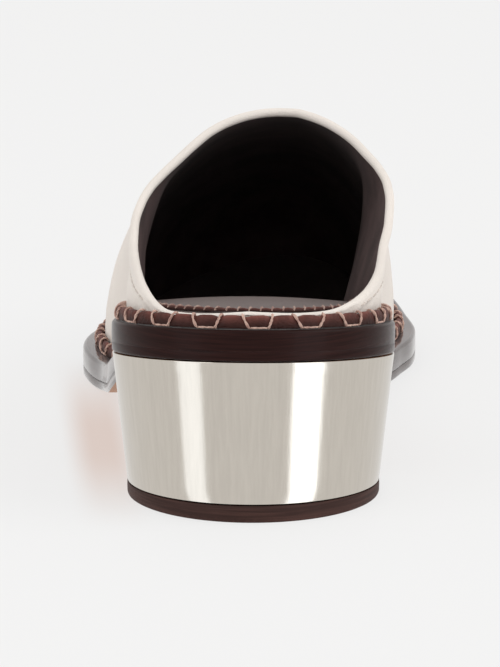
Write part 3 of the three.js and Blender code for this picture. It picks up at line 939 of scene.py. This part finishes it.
# Low relief in millimetres: middle, reach and depth of the fold's roll and the swell over the strip
FOLD_ROLL = (1.1, 0.6, 0.14)
FOOT_SWELL = (5.0, 4.0, 0.18)
GROOVE_REACH = 0.45
PUCKER_REACH = 1.5
PUCKER_STARTS = 0.4
PUCKER_RISE = 2.2
CREASE_SLANT = 0.35
WAVE_SPAN = 21.0
WAVE_RISE = 17.0
WAVE_DEPTH = 0.16

# The collar's stitches: way round where they start, first one, thread's radius, arch along one stitch
STITCHING_STARTS = 0.17
STITCH_LEAD = 0.2
COLLAR_THREAD = 0.2
STITCH_ARCH = ((0.0, -0.16), (0.12, 0.04), (0.5, 0.14), (0.88, 0.04), (1.0, -0.16))


def stitch_pairs(strip):
    """Middles of the pairs of whip stitches round the sole's edge, in millimetres, evenly spread."""
    count = round(LOOP_LENGTH / (strip.pitch / MM))
    return [strip.first / MM + k * LOOP_LENGTH / count for k in range(count)]


def leg_runs(strip):
    """Middles of the single whip stitches round the sole's edge, in millimetres."""
    half = (strip.foot_half + strip.top_half) / 2 / MM
    return [(middle + way * half) % LOOP_LENGTH for middle in stitch_pairs(strip) for way in (-1, 1)]


def pinch_at(run, legs, reach):
    """1 at a whip stitch, falling to 0 beside it."""
    gap = min(min(abs(run - leg), LOOP_LENGTH - abs(run - leg)) for leg in legs)
    return hump(gap, 0.0, reach)


def crease_at(station, distance):
    """Depth of the soft creases and the leather's slight unevenness at one place of the upper."""
    depth = 0.0
    for side, around, away, wide, tall, deep in CREASES:
        if side == station.side:
            turn = (station.around - around) / wide + (distance - away) / tall * CREASE_SLANT
            depth += deep * hump(turn, 0.0, 1.0) * hump(distance, away, tall)
    wave = noise.noise(Vector((station.x / WAVE_SPAN, station.y / WAVE_SPAN, distance / WAVE_RISE)))
    return depth + WAVE_DEPTH * wave


class Upper:
    """Middle surface of the upper as a grid, with the normals and distances that stitches need too."""

    def __init__(self):
        ribs = [rib_points(station, BODY_ROWS) for station in LOOP]
        self.middle = np.array([points for points, distances in ribs])
        self.distance = np.array([distances for points, distances in ribs])
        ahead = np.roll(self.middle, -1, axis=0) - np.roll(self.middle, 1, axis=0)
        upward = np.empty_like(self.middle)
        upward[:, 1:-1] = self.middle[:, :-2] - self.middle[:, 2:]
        upward[:, 0] = self.middle[:, 0] - self.middle[:, 1]
        upward[:, -1] = self.middle[:, -2] - self.middle[:, -1]
        normal = np.cross(ahead, upward)
        normal[:, -1, 2] = 0
        self.normal = normal / np.linalg.norm(normal, axis=2)[:, :, None]
        self.edge = upward[:, 0] / np.linalg.norm(upward[:, 0], axis=1)[:, None]

    def outside(self, upper, strip):
        """Outer surface with its fold, stitch groove, dimples and creases."""
        legs = leg_runs(strip)
        offset = np.zeros(self.distance.shape)
        line = upper.fold_stitch_in / MM
        roll_middle, roll_reach, roll_height = FOLD_ROLL
        swell_middle, swell_reach, swell_height = FOOT_SWELL
        for index, station in enumerate(LOOP):
            free = reading(RIB_SHAPE, 4, station.around)
            pinch = pinch_at(station.run, legs, PUCKER_REACH)
            for row, away in enumerate(self.distance[index]):
                above = self.middle[index, row, 2] - midsole_top(station.y) - STRIP_HEIGHT
                groove = upper.groove / MM * hump(away, line, GROOVE_REACH) * free
                roll = roll_height * hump(away, roll_middle, roll_reach) * free
                dimple = upper.pucker / MM * pinch * hump(max(above - PUCKER_STARTS, 0), 0.0, PUCKER_RISE)
                swell = swell_height * hump(above, swell_middle, swell_reach) * free
                fade = smooth(away / 9.0) * smooth(above / 6.0)
                offset[index, row] = roll + swell - groove - dimple - crease_at(station, away) * fade
        return self.middle + self.normal * (UPPER_WALL / 2 + offset)[:, :, None]

    def inside(self):
        """Inner surface."""
        return self.middle - self.normal * UPPER_WALL / 2


def upper_sections(form, upper, strip):
    """Closed section of the upper at each station: up the outside, over the rim and down the inside."""
    outside = form.outside(upper, strip)
    inside = form.inside()
    sections = []
    for index in range(len(LOOP)):
        rim = []
        for turn in RIM_TURNS:
            angle = math.radians(turn)
            out = form.normal[index, 0] * math.cos(angle) * UPPER_WALL / 2
            rim.append(form.middle[index, 0] + out + form.edge[index] * math.sin(angle) * RIM_CROWN)
        section = list(outside[index][::-1]) + rim + list(inside[index])
        sections.append([tuple(point) for point in section])
    return sections


class MULE_OT_make_upper(bpy.types.Operator):
    """Makes the upper with its folded rim and dark lining"""

    bl_idname = "mule.make_upper"
    bl_label = "Upper"

    def execute(self, context):
        upper, strip = settings("upper"), settings("strip")
        cream = tuple(upper.leather)
        outer = leather("upper_leather", cream, grain=0.7, roughness=0.6, relief=0.035, variation=0.05)
        lining = lining_finish(tuple(upper.lining))
        form = Upper()
        sections = upper_sections(form, upper, strip)
        piece = sheet("upper_shell", sections, outer, round_closed=True, across_closed=True)
        piece.data.materials.append(lining)
        points = len(sections[0])
        start = (form.middle.shape[1] + len(RIM_TURNS) + LINING_STARTS) / points
        layer = piece.data.uv_layers.active.data
        for face in piece.data.polygons:
            across = sum(layer[loop].uv[0] for loop in face.loop_indices) / len(face.loop_indices)
            face.material_index = 1 if across > start - 0.5 / points else 0
        sewn("upper_shell", [piece], angle=60.0)
        finished(piece, "upper_leather", "upper")
        return {"FINISHED"}


class MULE_OT_stitch_collar(bpy.types.Operator):
    """Sews the line of stitches along the collar's fold"""

    bl_idname = "mule.stitch_collar"
    bl_label = "Collar stitching"

    def execute(self, context):
        upper, strip = settings("upper"), settings("strip")
        form = Upper()
        outside = form.outside(upper, strip)
        row = min(range(len(FOLD_ROWS)), key=lambda k: abs(FOLD_ROWS[k] - upper.fold_stitch_in / MM))
        kept = [k for k, station in enumerate(LOOP) if station.around > STITCHING_STARTS]
        line = outside[kept, row]
        normal = form.normal[kept, row]
        length = np.concatenate([[0], np.cumsum(np.linalg.norm(np.diff(line, axis=0), axis=1))])
        pitch, stitch = upper.fold_stitch_pitch / MM, upper.fold_stitch_length / MM

        def at(place, lift):
            point = [np.interp(place, length, line[:, axis]) for axis in range(3)]
            out = [np.interp(place, length, normal[:, axis]) for axis in range(3)]
            return [p + lift * n for p, n in zip(point, out)]

        lines = []
        for k in range(int(length[-1] / pitch)):
            start = k * pitch + STITCH_LEAD
            lines.append([at(start + share * stitch, lift) for share, lift in STITCH_ARCH])
        thread = thread_finish("collar_thread", tuple(upper.thread), shade(tuple(upper.thread), 0.7))
        piece = threads("collar_stitches", lines, COLLAR_THREAD, thread)
        finished(piece, "upper_leather")
        return {"FINISHED"}


# Strip, whip stitches and binding

# Section of the strip: share of its thickness inwards, share of its height
STRIP_SECTION = (
    (0.0, 0.0),
    (0.0, 0.2),
    (0.0, 0.4),
    (0.03, 0.6),
    (0.1, 0.78),
    (0.22, 0.92),
    (0.38, 0.99),
    (0.55, 1.0),
    (0.74, 0.96),
    (0.9, 0.86),
    (1.0, 0.7),
    (1.0, 0.35),
    (1.0, 0.0),
)
STRIP_STEPS = 720
STRIP_BULGE = 0.16
STRIP_LUMP = 0.1
STRIP_LUMP_SPAN = 3.1
STRIP_SWELL = 0.22
PINCH_REACH = 1.1

# How far the whip stitches stand out, wander and slant, as shares of the thread or in millimetres
WHIP_PROUD = 0.36
WHIP_UNEVEN = 0.5
WHIP_SLANT = 0.9
DASH_SHORT = 0.15
DASH_THREAD = 0.5

# Binding: its section, its steps, and its stitches as share of one stitch, millimetres inwards and up
BINDING_SECTION = (
    (0.0, 0.0),
    (0.0, 0.5),
    (0.1, 0.82),
    (0.3, 1.0),
    (0.52, 0.98),
    (0.74, 0.8),
    (0.92, 0.4),
    (1.0, 0.0),
)
BINDING_STEPS = 260
BINDING_PITCH = 3.5
BINDING_PRESS = 0.2
BINDING_FADE = 5.0
BINDING_LEAN = 1.1
BINDING_THREAD = 0.6
BINDING_STITCH = ((0.0, 0.1, 0.3), (0.15, 0.25, 0.8), (0.5, 0.95, 1.08), (0.8, 1.6, 0.7), (1.0, 2.0, 0.1))


def strip_point(station, inward, up):
    """Place on the strip, from its outer face inwards and from its foot up, in millimetres."""
    x, y = inset(station, ledge(station.y) + inward)
    return x, y, midsole_top(y) + GAP + up


class MULE_OT_make_strip(bpy.types.Operator):
    """Makes the leather strip round the foot of the upper, pressed in under each stitch"""

    bl_idname = "mule.make_strip"
    bl_label = "Strip"

    def execute(self, context):
        strip = settings("strip")
        legs = leg_runs(strip)
        rows = []
        for k in range(STRIP_STEPS):
            station = station_at(LOOP_LENGTH * k / STRIP_STEPS)
            pinch = pinch_at(station.run, legs, PINCH_REACH) * strip.pinch / MM
            lump = STRIP_LUMP * noise.noise(Vector((station.run / STRIP_LUMP_SPAN, 4.7, 1.3)))
            row = []
            for inward, up in STRIP_SECTION:
                high = smooth(up / 0.8)
                out = (STRIP_BULGE * math.sin(math.pi * up) - pinch * high) * (1 - inward)
                place_in = STRIP_THICKNESS * inward - out
                place_up = STRIP_HEIGHT * up + high * (STRIP_SWELL + lump - pinch * 1.2)
                row.append(strip_point(station, place_in, place_up))
            rows.append(row)
        finish = strip_finish(tuple(strip.leather))
        piece = sheet("whip_strip", rows, finish, round_closed=True, across_closed=True)
        sewn("whip_strip", [piece], angle=50.0)
        finished(piece, "strip_leather", "stitched_strip")
        return {"FINISHED"}


class MULE_OT_whip_stitch(bpy.types.Operator):
    """Sews the pairs of whip stitches over the strip"""

    bl_idname = "mule.whip_stitch"
    bl_label = "Whip stitches"

    def execute(self, context):
        strip = settings("strip")
        thick = strip.thickness / MM
        proud = thick * WHIP_PROUD
        lines = []
        for number, middle in enumerate(stitch_pairs(strip)):
            uneven = WHIP_UNEVEN * noise.noise(Vector((number * 1.7, 2.2, 0.4)))
            for way in (-1, 1):
                slant = WHIP_SLANT * noise.noise(Vector((number * 2.3, way * 3.1, 5.2)))
                top = middle + way * (strip.top_half / MM + uneven) + slant
                foot = middle + way * (strip.foot_half / MM - uneven * 0.5)
                path = (
                    (0.0, STRIP_THICKNESS * 1.12, STRIP_HEIGHT * 0.86),
                    (0.03, STRIP_THICKNESS * 0.92, STRIP_HEIGHT * 1.02 + proud * 0.4),
                    (0.12, STRIP_THICKNESS * 0.5, STRIP_HEIGHT * 1.03 + proud),
                    (0.26, STRIP_THICKNESS * 0.14 - proud * 0.5, STRIP_HEIGHT * 0.9 + proud * 0.3),
                    (0.45, -proud * 0.7, STRIP_HEIGHT * 0.66),
                    (0.72, -proud, STRIP_HEIGHT * 0.36),
                    (0.95, -proud * 0.7, STRIP_HEIGHT * 0.1),
                    (1.0, 0.35, STRIP_HEIGHT * 0.03),
                )
                line = [strip_point(station_at(blend(top, foot, t)), inward, up) for t, inward, up in path]
                lines += plies(line, thick, turns=1.7, steps=14)
            reach = strip.foot_half / MM - DASH_SHORT
            half = ((1.0, 0.3, 0.1), (0.7, -proud * 0.4, 0.16))
            dash = [(-share, inward, up) for share, inward, up in half] + [(0.0, 0.02, 0.14), *reversed(half)]
            line = [strip_point(station_at(middle + share * reach), inward, up) for share, inward, up in dash]
            lines += plies(line, thick * DASH_THREAD, turns=2.0, steps=10)
        finish = thread_finish("whip_thread", tuple(strip.thread), shade(tuple(strip.leather), 2.2))
        piece = threads("whip_stitches", lines, thick * 0.3, finish)
        finished(piece, "strip_leather")
        return {"FINISHED"}


class MULE_OT_make_binding(bpy.types.Operator):
    """Makes the stitched binding inside the heel edge"""

    bl_idname = "mule.make_binding"
    bl_label = "Heel binding"

    def execute(self, context):
        strip = settings("strip")
        reach = next(station.run for station in LOOP if station.y > BINDING_REACH)

        def place(run, inward, up):
            station = station_at(run)
            x, y = inset(station, lining_inset(station.y) + inward)
            return x, y, midsole_top(y) + INSOLE_THICKNESS + 2 * GAP + up

        rows = []
        for k in range(BINDING_STEPS + 1):
            run = blend(-reach, reach, k / BINDING_STEPS)
            taper = smooth((reach - abs(run)) / BINDING_FADE) * 0.7 + 0.3
            press = BINDING_PRESS * math.cos(2 * math.pi * run / BINDING_PITCH)
            wide, high = BINDING_THICKNESS * taper, (BINDING_HEIGHT - press * 0.6) * taper
            rows.append([place(run, wide * inward, high * up) for inward, up in BINDING_SECTION])
        # The binding shares the strip's finish, with its painted shade at the foot and painted highlight
        # along the top.
        finish = strip_finish(tuple(strip.leather))
        piece = sheet("heel_roll", rows, finish, across_closed=True)
        only(piece)
        bpy.ops.object.mode_set(mode="EDIT")
        bpy.ops.mesh.select_all(action="SELECT")
        bpy.ops.mesh.remove_doubles(threshold=MERGE_WITHIN)
        bpy.ops.mesh.select_all(action="DESELECT")
        bpy.ops.mesh.select_mode(type="EDGE")
        bpy.ops.mesh.select_non_manifold()
        bpy.ops.mesh.fill_holes(sides=0)
        bpy.ops.object.mode_set(mode="OBJECT")
        sewn("heel_roll", [piece], angle=50.0)
        finished(piece, "strip_leather", "heel_binding")
        lines = []
        for k in range(int(-reach / BINDING_PITCH) + 1, int(reach / BINDING_PITCH)):
            run = k * BINDING_PITCH
            line = [place(run + BINDING_LEAN * t, inward, up) for t, inward, up in BINDING_STITCH]
            lines += plies(line, BINDING_THREAD, turns=1.2, steps=9)
        darker = shade(tuple(strip.thread), 0.62)
        thread = thread_finish("binding_thread", darker, shade(tuple(strip.leather), 1.8))
        stitches = threads("binding_stitches", lines, 0.19, thread)
        finished(stitches, "strip_leather")
        return {"FINISHED"}


# Sole

# Gap that shows between midsole and outsole: at the heel, ahead of the waist, where and how fast it opens
SEAM_AT_HEEL = 0.03
SEAM_AT_BALL = 0.4
SEAM_OPENS_AT = 60
SEAM_OPENS_OVER = 50
MIDSOLE_DROP = 0.28
MIDSOLE_BULGE = 0.06
OUTSOLE_INSET = 0.02


def sole_seam(y):
    """Height of the seam between midsole and outsole."""
    return blend(SEAM_AT_HEEL, SEAM_AT_BALL, smooth((y - SEAM_OPENS_AT) / SEAM_OPENS_OVER))


def pad_insole(piece):
    """Raises the soft pad of the heel seat, fullest along its middle."""
    for vertex in piece.data.vertices:
        x, y, z = vertex.co.x / MM - SHIFT_X, vertex.co.y / MM - SHIFT_Y, vertex.co.z / MM
        if z < midsole_top(y) + GAP + INSOLE_THICKNESS - 0.05:
            continue
        reach = (sole_side(y, 1) - sole_side(y, -1)) / 2 - lining_inset(y)
        across = (x - (sole_side(y, 1) + sole_side(y, -1)) / 2) / max(reach, 1.0)
        along = smooth((y - 5) / 22) * (1 - smooth((y - 62) / 60))
        vertex.co.z += SEAT_CROWN * max(0.0, 1 - across * across) * along * MM


class MULE_OT_make_sole(bpy.types.Operator):
    """Makes the insole, the polished midsole and the thin outsole"""

    bl_idname = "mule.make_sole"
    bl_label = "Sole"

    def execute(self, context):
        sole = settings("sole")
        edge = edge_finish("sole_edge", tuple(sole.edge), roughness=0.2, coat=0.015)
        ledge_top = edge_finish("sole_ledge", shade(tuple(sole.edge), 1.7), roughness=0.42, coat=0.05)
        foot = lambda y: midsole_foot(y) - MIDSOLE_DROP
        rings = []
        for inward, upward in ((1.0, 0.0), (0.3, 0.3), (0.0, 1.0)):
            away = lambda y, part=inward: sole_seam(y) * part
            rings.append(sole_ring(away, lambda y, part=upward: foot(y) + sole_seam(y) * part))
        middle = lambda y: midsole_foot(y) + MIDSOLE_THICKNESS * 0.42
        rings.append(sole_ring(lambda y: -MIDSOLE_BULGE, middle))
        for away, down in rounded(MIDSOLE_EDGE):
            rings.append(sole_ring(lambda y, a=away: a, lambda y, d=down: midsole_top(y) - d))
        midsole = sole_layer("midsole_layer", rings, edge, ledge_top, edge)
        finished(midsole, "midsole_leather", "midsole")

        tan = tan_finish(tuple(sole.under))
        rings = []
        for away, up in reversed(rounded(OUTSOLE_EDGE)):
            rings.append(sole_ring(lambda y, a=away: a + OUTSOLE_INSET, lambda y, u=up: sole_foot(y) + u))
        top = lambda y: sole_foot(y) + OUTSOLE_THICKNESS
        rings.append(sole_ring(lambda y: OUTSOLE_INSET, lambda y: top(y) - sole_seam(y)))
        rings.append(sole_ring(lambda y: OUTSOLE_INSET + sole_seam(y), top))
        outsole = sole_layer("outsole_layer", rings, edge, edge, tan)
        finished(outsole, "outsole_leather", "outsole")

        colour = tuple(sole.insole)
        grey = leather("insole_leather", colour, grain=0.6, roughness=0.55, relief=0.03, variation=0.1)
        foot = lambda y: midsole_top(y) + GAP
        rings = [sole_ring(lining_inset, foot)]
        for away, down in rounded(INSOLE_EDGE):
            up = INSOLE_THICKNESS - down
            rings.append(sole_ring(lambda y, a=away: lining_inset(y) + a, lambda y, u=up: foot(y) + u))
        insole = sole_layer("insole_layer", rings, grey, grey, grey)
        pad_insole(insole)
        finished(insole, "insole_leather", "insole")
        return {"FINISHED"}


# Heel

HEEL_SIDE_STEPS = 56
HEEL_BREAST_STEPS = 24
HEEL_LEVELS = 10
HEEL_SHARES = [1 - math.cos(math.pi * k / (2 * HEEL_SIDE_STEPS)) for k in range(HEEL_SIDE_STEPS + 1)]

# Small corner of the heel and lift, from the face's rim to the side: in from the side, away from the face
HEEL_CORNER = ((0.25, 0.0), (0.06, 0.07), (0.0, 0.25))

# The wrap's seam, as its distance from the breast
SEAM_FROM_BREAST = 2.4


def heel_point(share, across, level, trim):
    """Place on the heel's outline: share runs from back to breast, across from inner to outer side."""
    taper = 1 - level
    y = HEEL_LENGTH * share
    slim = (1 - taper * 2 * HEEL_SIDE_TAPER / HEEL_WIDTH) * (1 - GAP / HEEL_WIDTH)
    slim *= 1 - 2 * trim / HEEL_WIDTH
    back = taper * HEEL_BACK_TAPER + trim
    length = HEEL_LENGTH - GAP - back - taper * HEEL_BREAST_TAPER - trim
    hollow = BREAST_HOLLOW * 4 * across * (1 - across) * share * share
    return blend(sole_side(y, 1), sole_side(y, -1), across) * slim, GAP + back + length * share - hollow


def heel_outline(level, trim):
    """Closed outline of the heel at one level, from the back along the inner side and round."""
    line = [heel_point(share, 0.0, level, trim) for share in HEEL_SHARES]
    line += [heel_point(1.0, k / HEEL_BREAST_STEPS, level, trim) for k in range(1, HEEL_BREAST_STEPS)]
    line += [heel_point(share, 1.0, level, trim) for share in reversed(HEEL_SHARES[1:])]
    return line


def heel_cap(name, level, trim, height, finish):
    """Sheet across the heel at one level, which meets the outline's own points."""
    rows = []
    for share in HEEL_SHARES:
        row = [heel_point(share, k / HEEL_BREAST_STEPS, level, trim) for k in range(HEEL_BREAST_STEPS + 1)]
        rows.append([(x, y, height(y)) for x, y in row])
    return sheet(name, rows, finish)


def heel_body(name, levels, finish):
    """Closed heel piece from its levels: taper level, trim and height of each."""
    outlines = [heel_outline(level, trim) for level, trim, height in levels]
    rows = []
    for index in range(len(outlines[0])):
        row = []
        for outline, (level, trim, height) in zip(outlines, levels):
            x, y = outline[index]
            row.append((x, y, height(y)))
        rows.append(row)
    side = sheet(name + "_side", rows, finish, round_closed=True)
    base = heel_cap(name + "_base", *levels[0], finish)
    top = heel_cap(name + "_top", *levels[-1], finish)
    return sewn(name, [side, base, top], angle=35.0)


class MULE_OT_make_heel(bpy.types.Operator):
    """Makes the metal heel and its top lift"""

    bl_idname = "mule.make_heel"
    bl_label = "Heel"

    def execute(self, context):
        heel = settings("heel")
        seat = lambda y: sole_foot(y) - GAP

        def between(level, nudge=0.0):
            return lambda y: blend(lift_top(y) + GAP, seat(y), level) + nudge

        levels = [(0.0, trim, between(0.0, away)) for trim, away in HEEL_CORNER]
        levels += [(k / HEEL_LEVELS, 0.0, between(k / HEEL_LEVELS)) for k in range(1, HEEL_LEVELS)]
        levels += [(1.0, trim, between(1.0, -away)) for trim, away in reversed(HEEL_CORNER)]
        breast = (HEEL_LENGTH - HEEL_BREAST_TAPER + SHIFT_Y - SEAM_FROM_BREAST) * MM
        lean = HEEL_BREAST_TAPER / (HEEL_RISE - LIFT_THICKNESS)
        metal = metal_finish(tuple(heel.metal), heel.roughness, breast, lean)
        block = heel_body("metal_heel", levels, metal)
        finished(block, "heel_metal", "heel_block")
        levels = [
            (0.0, LIFT_EDGE, lambda y: 0.0),
            (0.0, LIFT_EDGE * 0.3, lambda y: 0.12),
            (0.0, 0.0, lambda y: LIFT_EDGE),
            (0.0, -0.04, lambda y: lift_top(y) * 0.55),
        ]
        levels += [(0.0, trim, lambda y, a=away: lift_top(y) - a) for trim, away in reversed(HEEL_CORNER)]
        lift = heel_body("heel_lift", levels, lift_finish(tuple(heel.lift)))
        finished(lift, "lift_rubber", "top_lift")
        return {"FINISHED"}


# Stage

CAMERA_PLACE = (0.0586, -1.625, 0.380)
CAMERA_AIM = (0.004, -0.06, 0.0335)
FLOOR_SIZE = 30.0

# Soft lights in metres: place, size and share of the key light's power
LIGHTS = {
    "key": ((1.35, -0.35, 1.15), 1.2, 1.0),
    "fill": ((-1.2, -0.9, 0.9), 1.2, 0.5),
    "top": ((0.0, 0.4, 2.0), 1.6, 0.25),
}
LIGHTS_AIM = (0.0, 0.0, 0.03)

# Cards that the heel mirrors: turn and width in degrees, share of the brightness
CARDS = {"inner": (53.0, 29.0, 1.0), "outer": (-56.0, 22.0, 0.7)}
CARD_AWAY = 1.3
CARD_HEIGHT = 3.2
CARD_LIGHT = (0.93, 0.965, 1.0, 1.0)
HEEL_MIDDLE = 20
HEEL_HALF_HEIGHT = 0.02


def aimed(thing, target):
    """Turns a light or camera to look at a point."""
    way = Vector(target) - thing.location
    thing.rotation_euler = way.to_track_quat("-Z", "Y").to_euler()


class MULE_OT_set_stage(bpy.types.Operator):
    """Sets the floor, lights, heel cards and camera"""

    bl_idname = "mule.set_stage"
    bl_label = "Stage"

    def execute(self, context):
        stage = settings("stage")
        scene = context.scene
        only()
        bpy.ops.mesh.primitive_plane_add(size=FLOOR_SIZE, location=(0.0, FLOOR_AHEAD, 0.0))
        floor = context.active_object
        floor.name = "floor"
        floor.data.materials.append(floor_finish(stage.floor))
        floor.visible_glossy = False

        world = bpy.data.worlds.new("studio")
        world.use_nodes = True
        surround = world.node_tree.nodes["Background"]
        surround.inputs["Color"].default_value = (1.0, 0.995, 0.985, 1.0)
        surround.inputs["Strength"].default_value = stage.world
        scene.world = world

        for name, (place, size, share) in LIGHTS.items():
            only()
            bpy.ops.object.light_add(type="AREA", location=place)
            light = context.active_object
            light.name = name + "_light"
            light.data.size = size
            light.data.energy = stage.key * share
            aimed(light, LIGHTS_AIM)

        heel = Vector((SHIFT_X * MM, (SHIFT_Y + HEEL_MIDDLE) * MM, HEEL_HALF_HEIGHT))
        for name, (turn, width, share) in CARDS.items():
            only()
            bpy.ops.mesh.primitive_plane_add(size=1.0)
            card = context.active_object
            card.name = name + "_card"
            glow = Finish(name + "_card_glow")
            light_of_card = {"Color": CARD_LIGHT, "Strength": stage.card * share}
            glow.add_output(glow.add("ShaderNodeEmission", {}, light_of_card))
            card.data.materials.append(glow.material)
            angle = math.radians(turn)
            card.location = heel + Vector((math.sin(angle), -math.cos(angle), 0.0)) * CARD_AWAY
            card.scale = (2 * CARD_AWAY * math.tan(math.radians(width / 2)), CARD_HEIGHT, 1.0)
            aimed(card, heel)
            for rays in ("camera", "diffuse", "shadow", "transmission"):
                setattr(card, "visible_" + rays, False)

        only()
        bpy.ops.object.camera_add(location=CAMERA_PLACE)
        camera = context.active_object
        camera.name = "photo_camera"
        camera.data.lens = stage.lens
        camera.data.clip_start = 0.05
        camera.data.clip_end = 60.0
        aimed(camera, CAMERA_AIM)
        scene.camera = camera
        scene.view_settings.view_transform = "Standard"
        return {"FINISHED"}


class VIEW3D_PT_mule(bpy.types.Panel):
    """Lists the steps that build the mule"""

    bl_label = "Left mule"
    bl_idname = "VIEW3D_PT_mule"
    bl_space_type = "VIEW_3D"
    bl_region_type = "UI"
    bl_category = "Mule"

    def draw(self, context):
        for name, group in GROUPS.items():
            box = self.layout.box()
            box.label(text=name.capitalize())
            for key in group.__annotations__:
                box.prop(settings(name), key)
        for step in STEPS:
            self.layout.operator(step.bl_idname)


GROUPS = {
    "upper": MuleUpperSettings,
    "strip": MuleStripSettings,
    "sole": MuleSoleSettings,
    "heel": MuleHeelSettings,
    "stage": MuleStageSettings,
}
STEPS = (
    MULE_OT_make_upper,
    MULE_OT_stitch_collar,
    MULE_OT_make_strip,
    MULE_OT_whip_stitch,
    MULE_OT_make_binding,
    MULE_OT_make_sole,
    MULE_OT_make_heel,
    MULE_OT_set_stage,
)


def register():
    """Registers the settings, steps and panel."""
    for name, group in GROUPS.items():
        bpy.utils.register_class(group)
        setattr(bpy.types.Scene, "mule_" + name, bpy.props.PointerProperty(type=group))
    for step in STEPS:
        bpy.utils.register_class(step)
    bpy.utils.register_class(VIEW3D_PT_mule)


def unregister():
    """Takes the settings, steps and panel away again."""
    bpy.utils.unregister_class(VIEW3D_PT_mule)
    for step in reversed(STEPS):
        bpy.utils.unregister_class(step)
    for name, group in reversed(GROUPS.items()):
        delattr(bpy.types.Scene, "mule_" + name)
        bpy.utils.unregister_class(group)


def main():
    """Builds the whole shoe and its stage."""
    register()
    for step in STEPS:
        group, name = step.bl_idname.split(".")
        getattr(getattr(bpy.ops, group), name)()


if __name__ == "__main__":
    main()
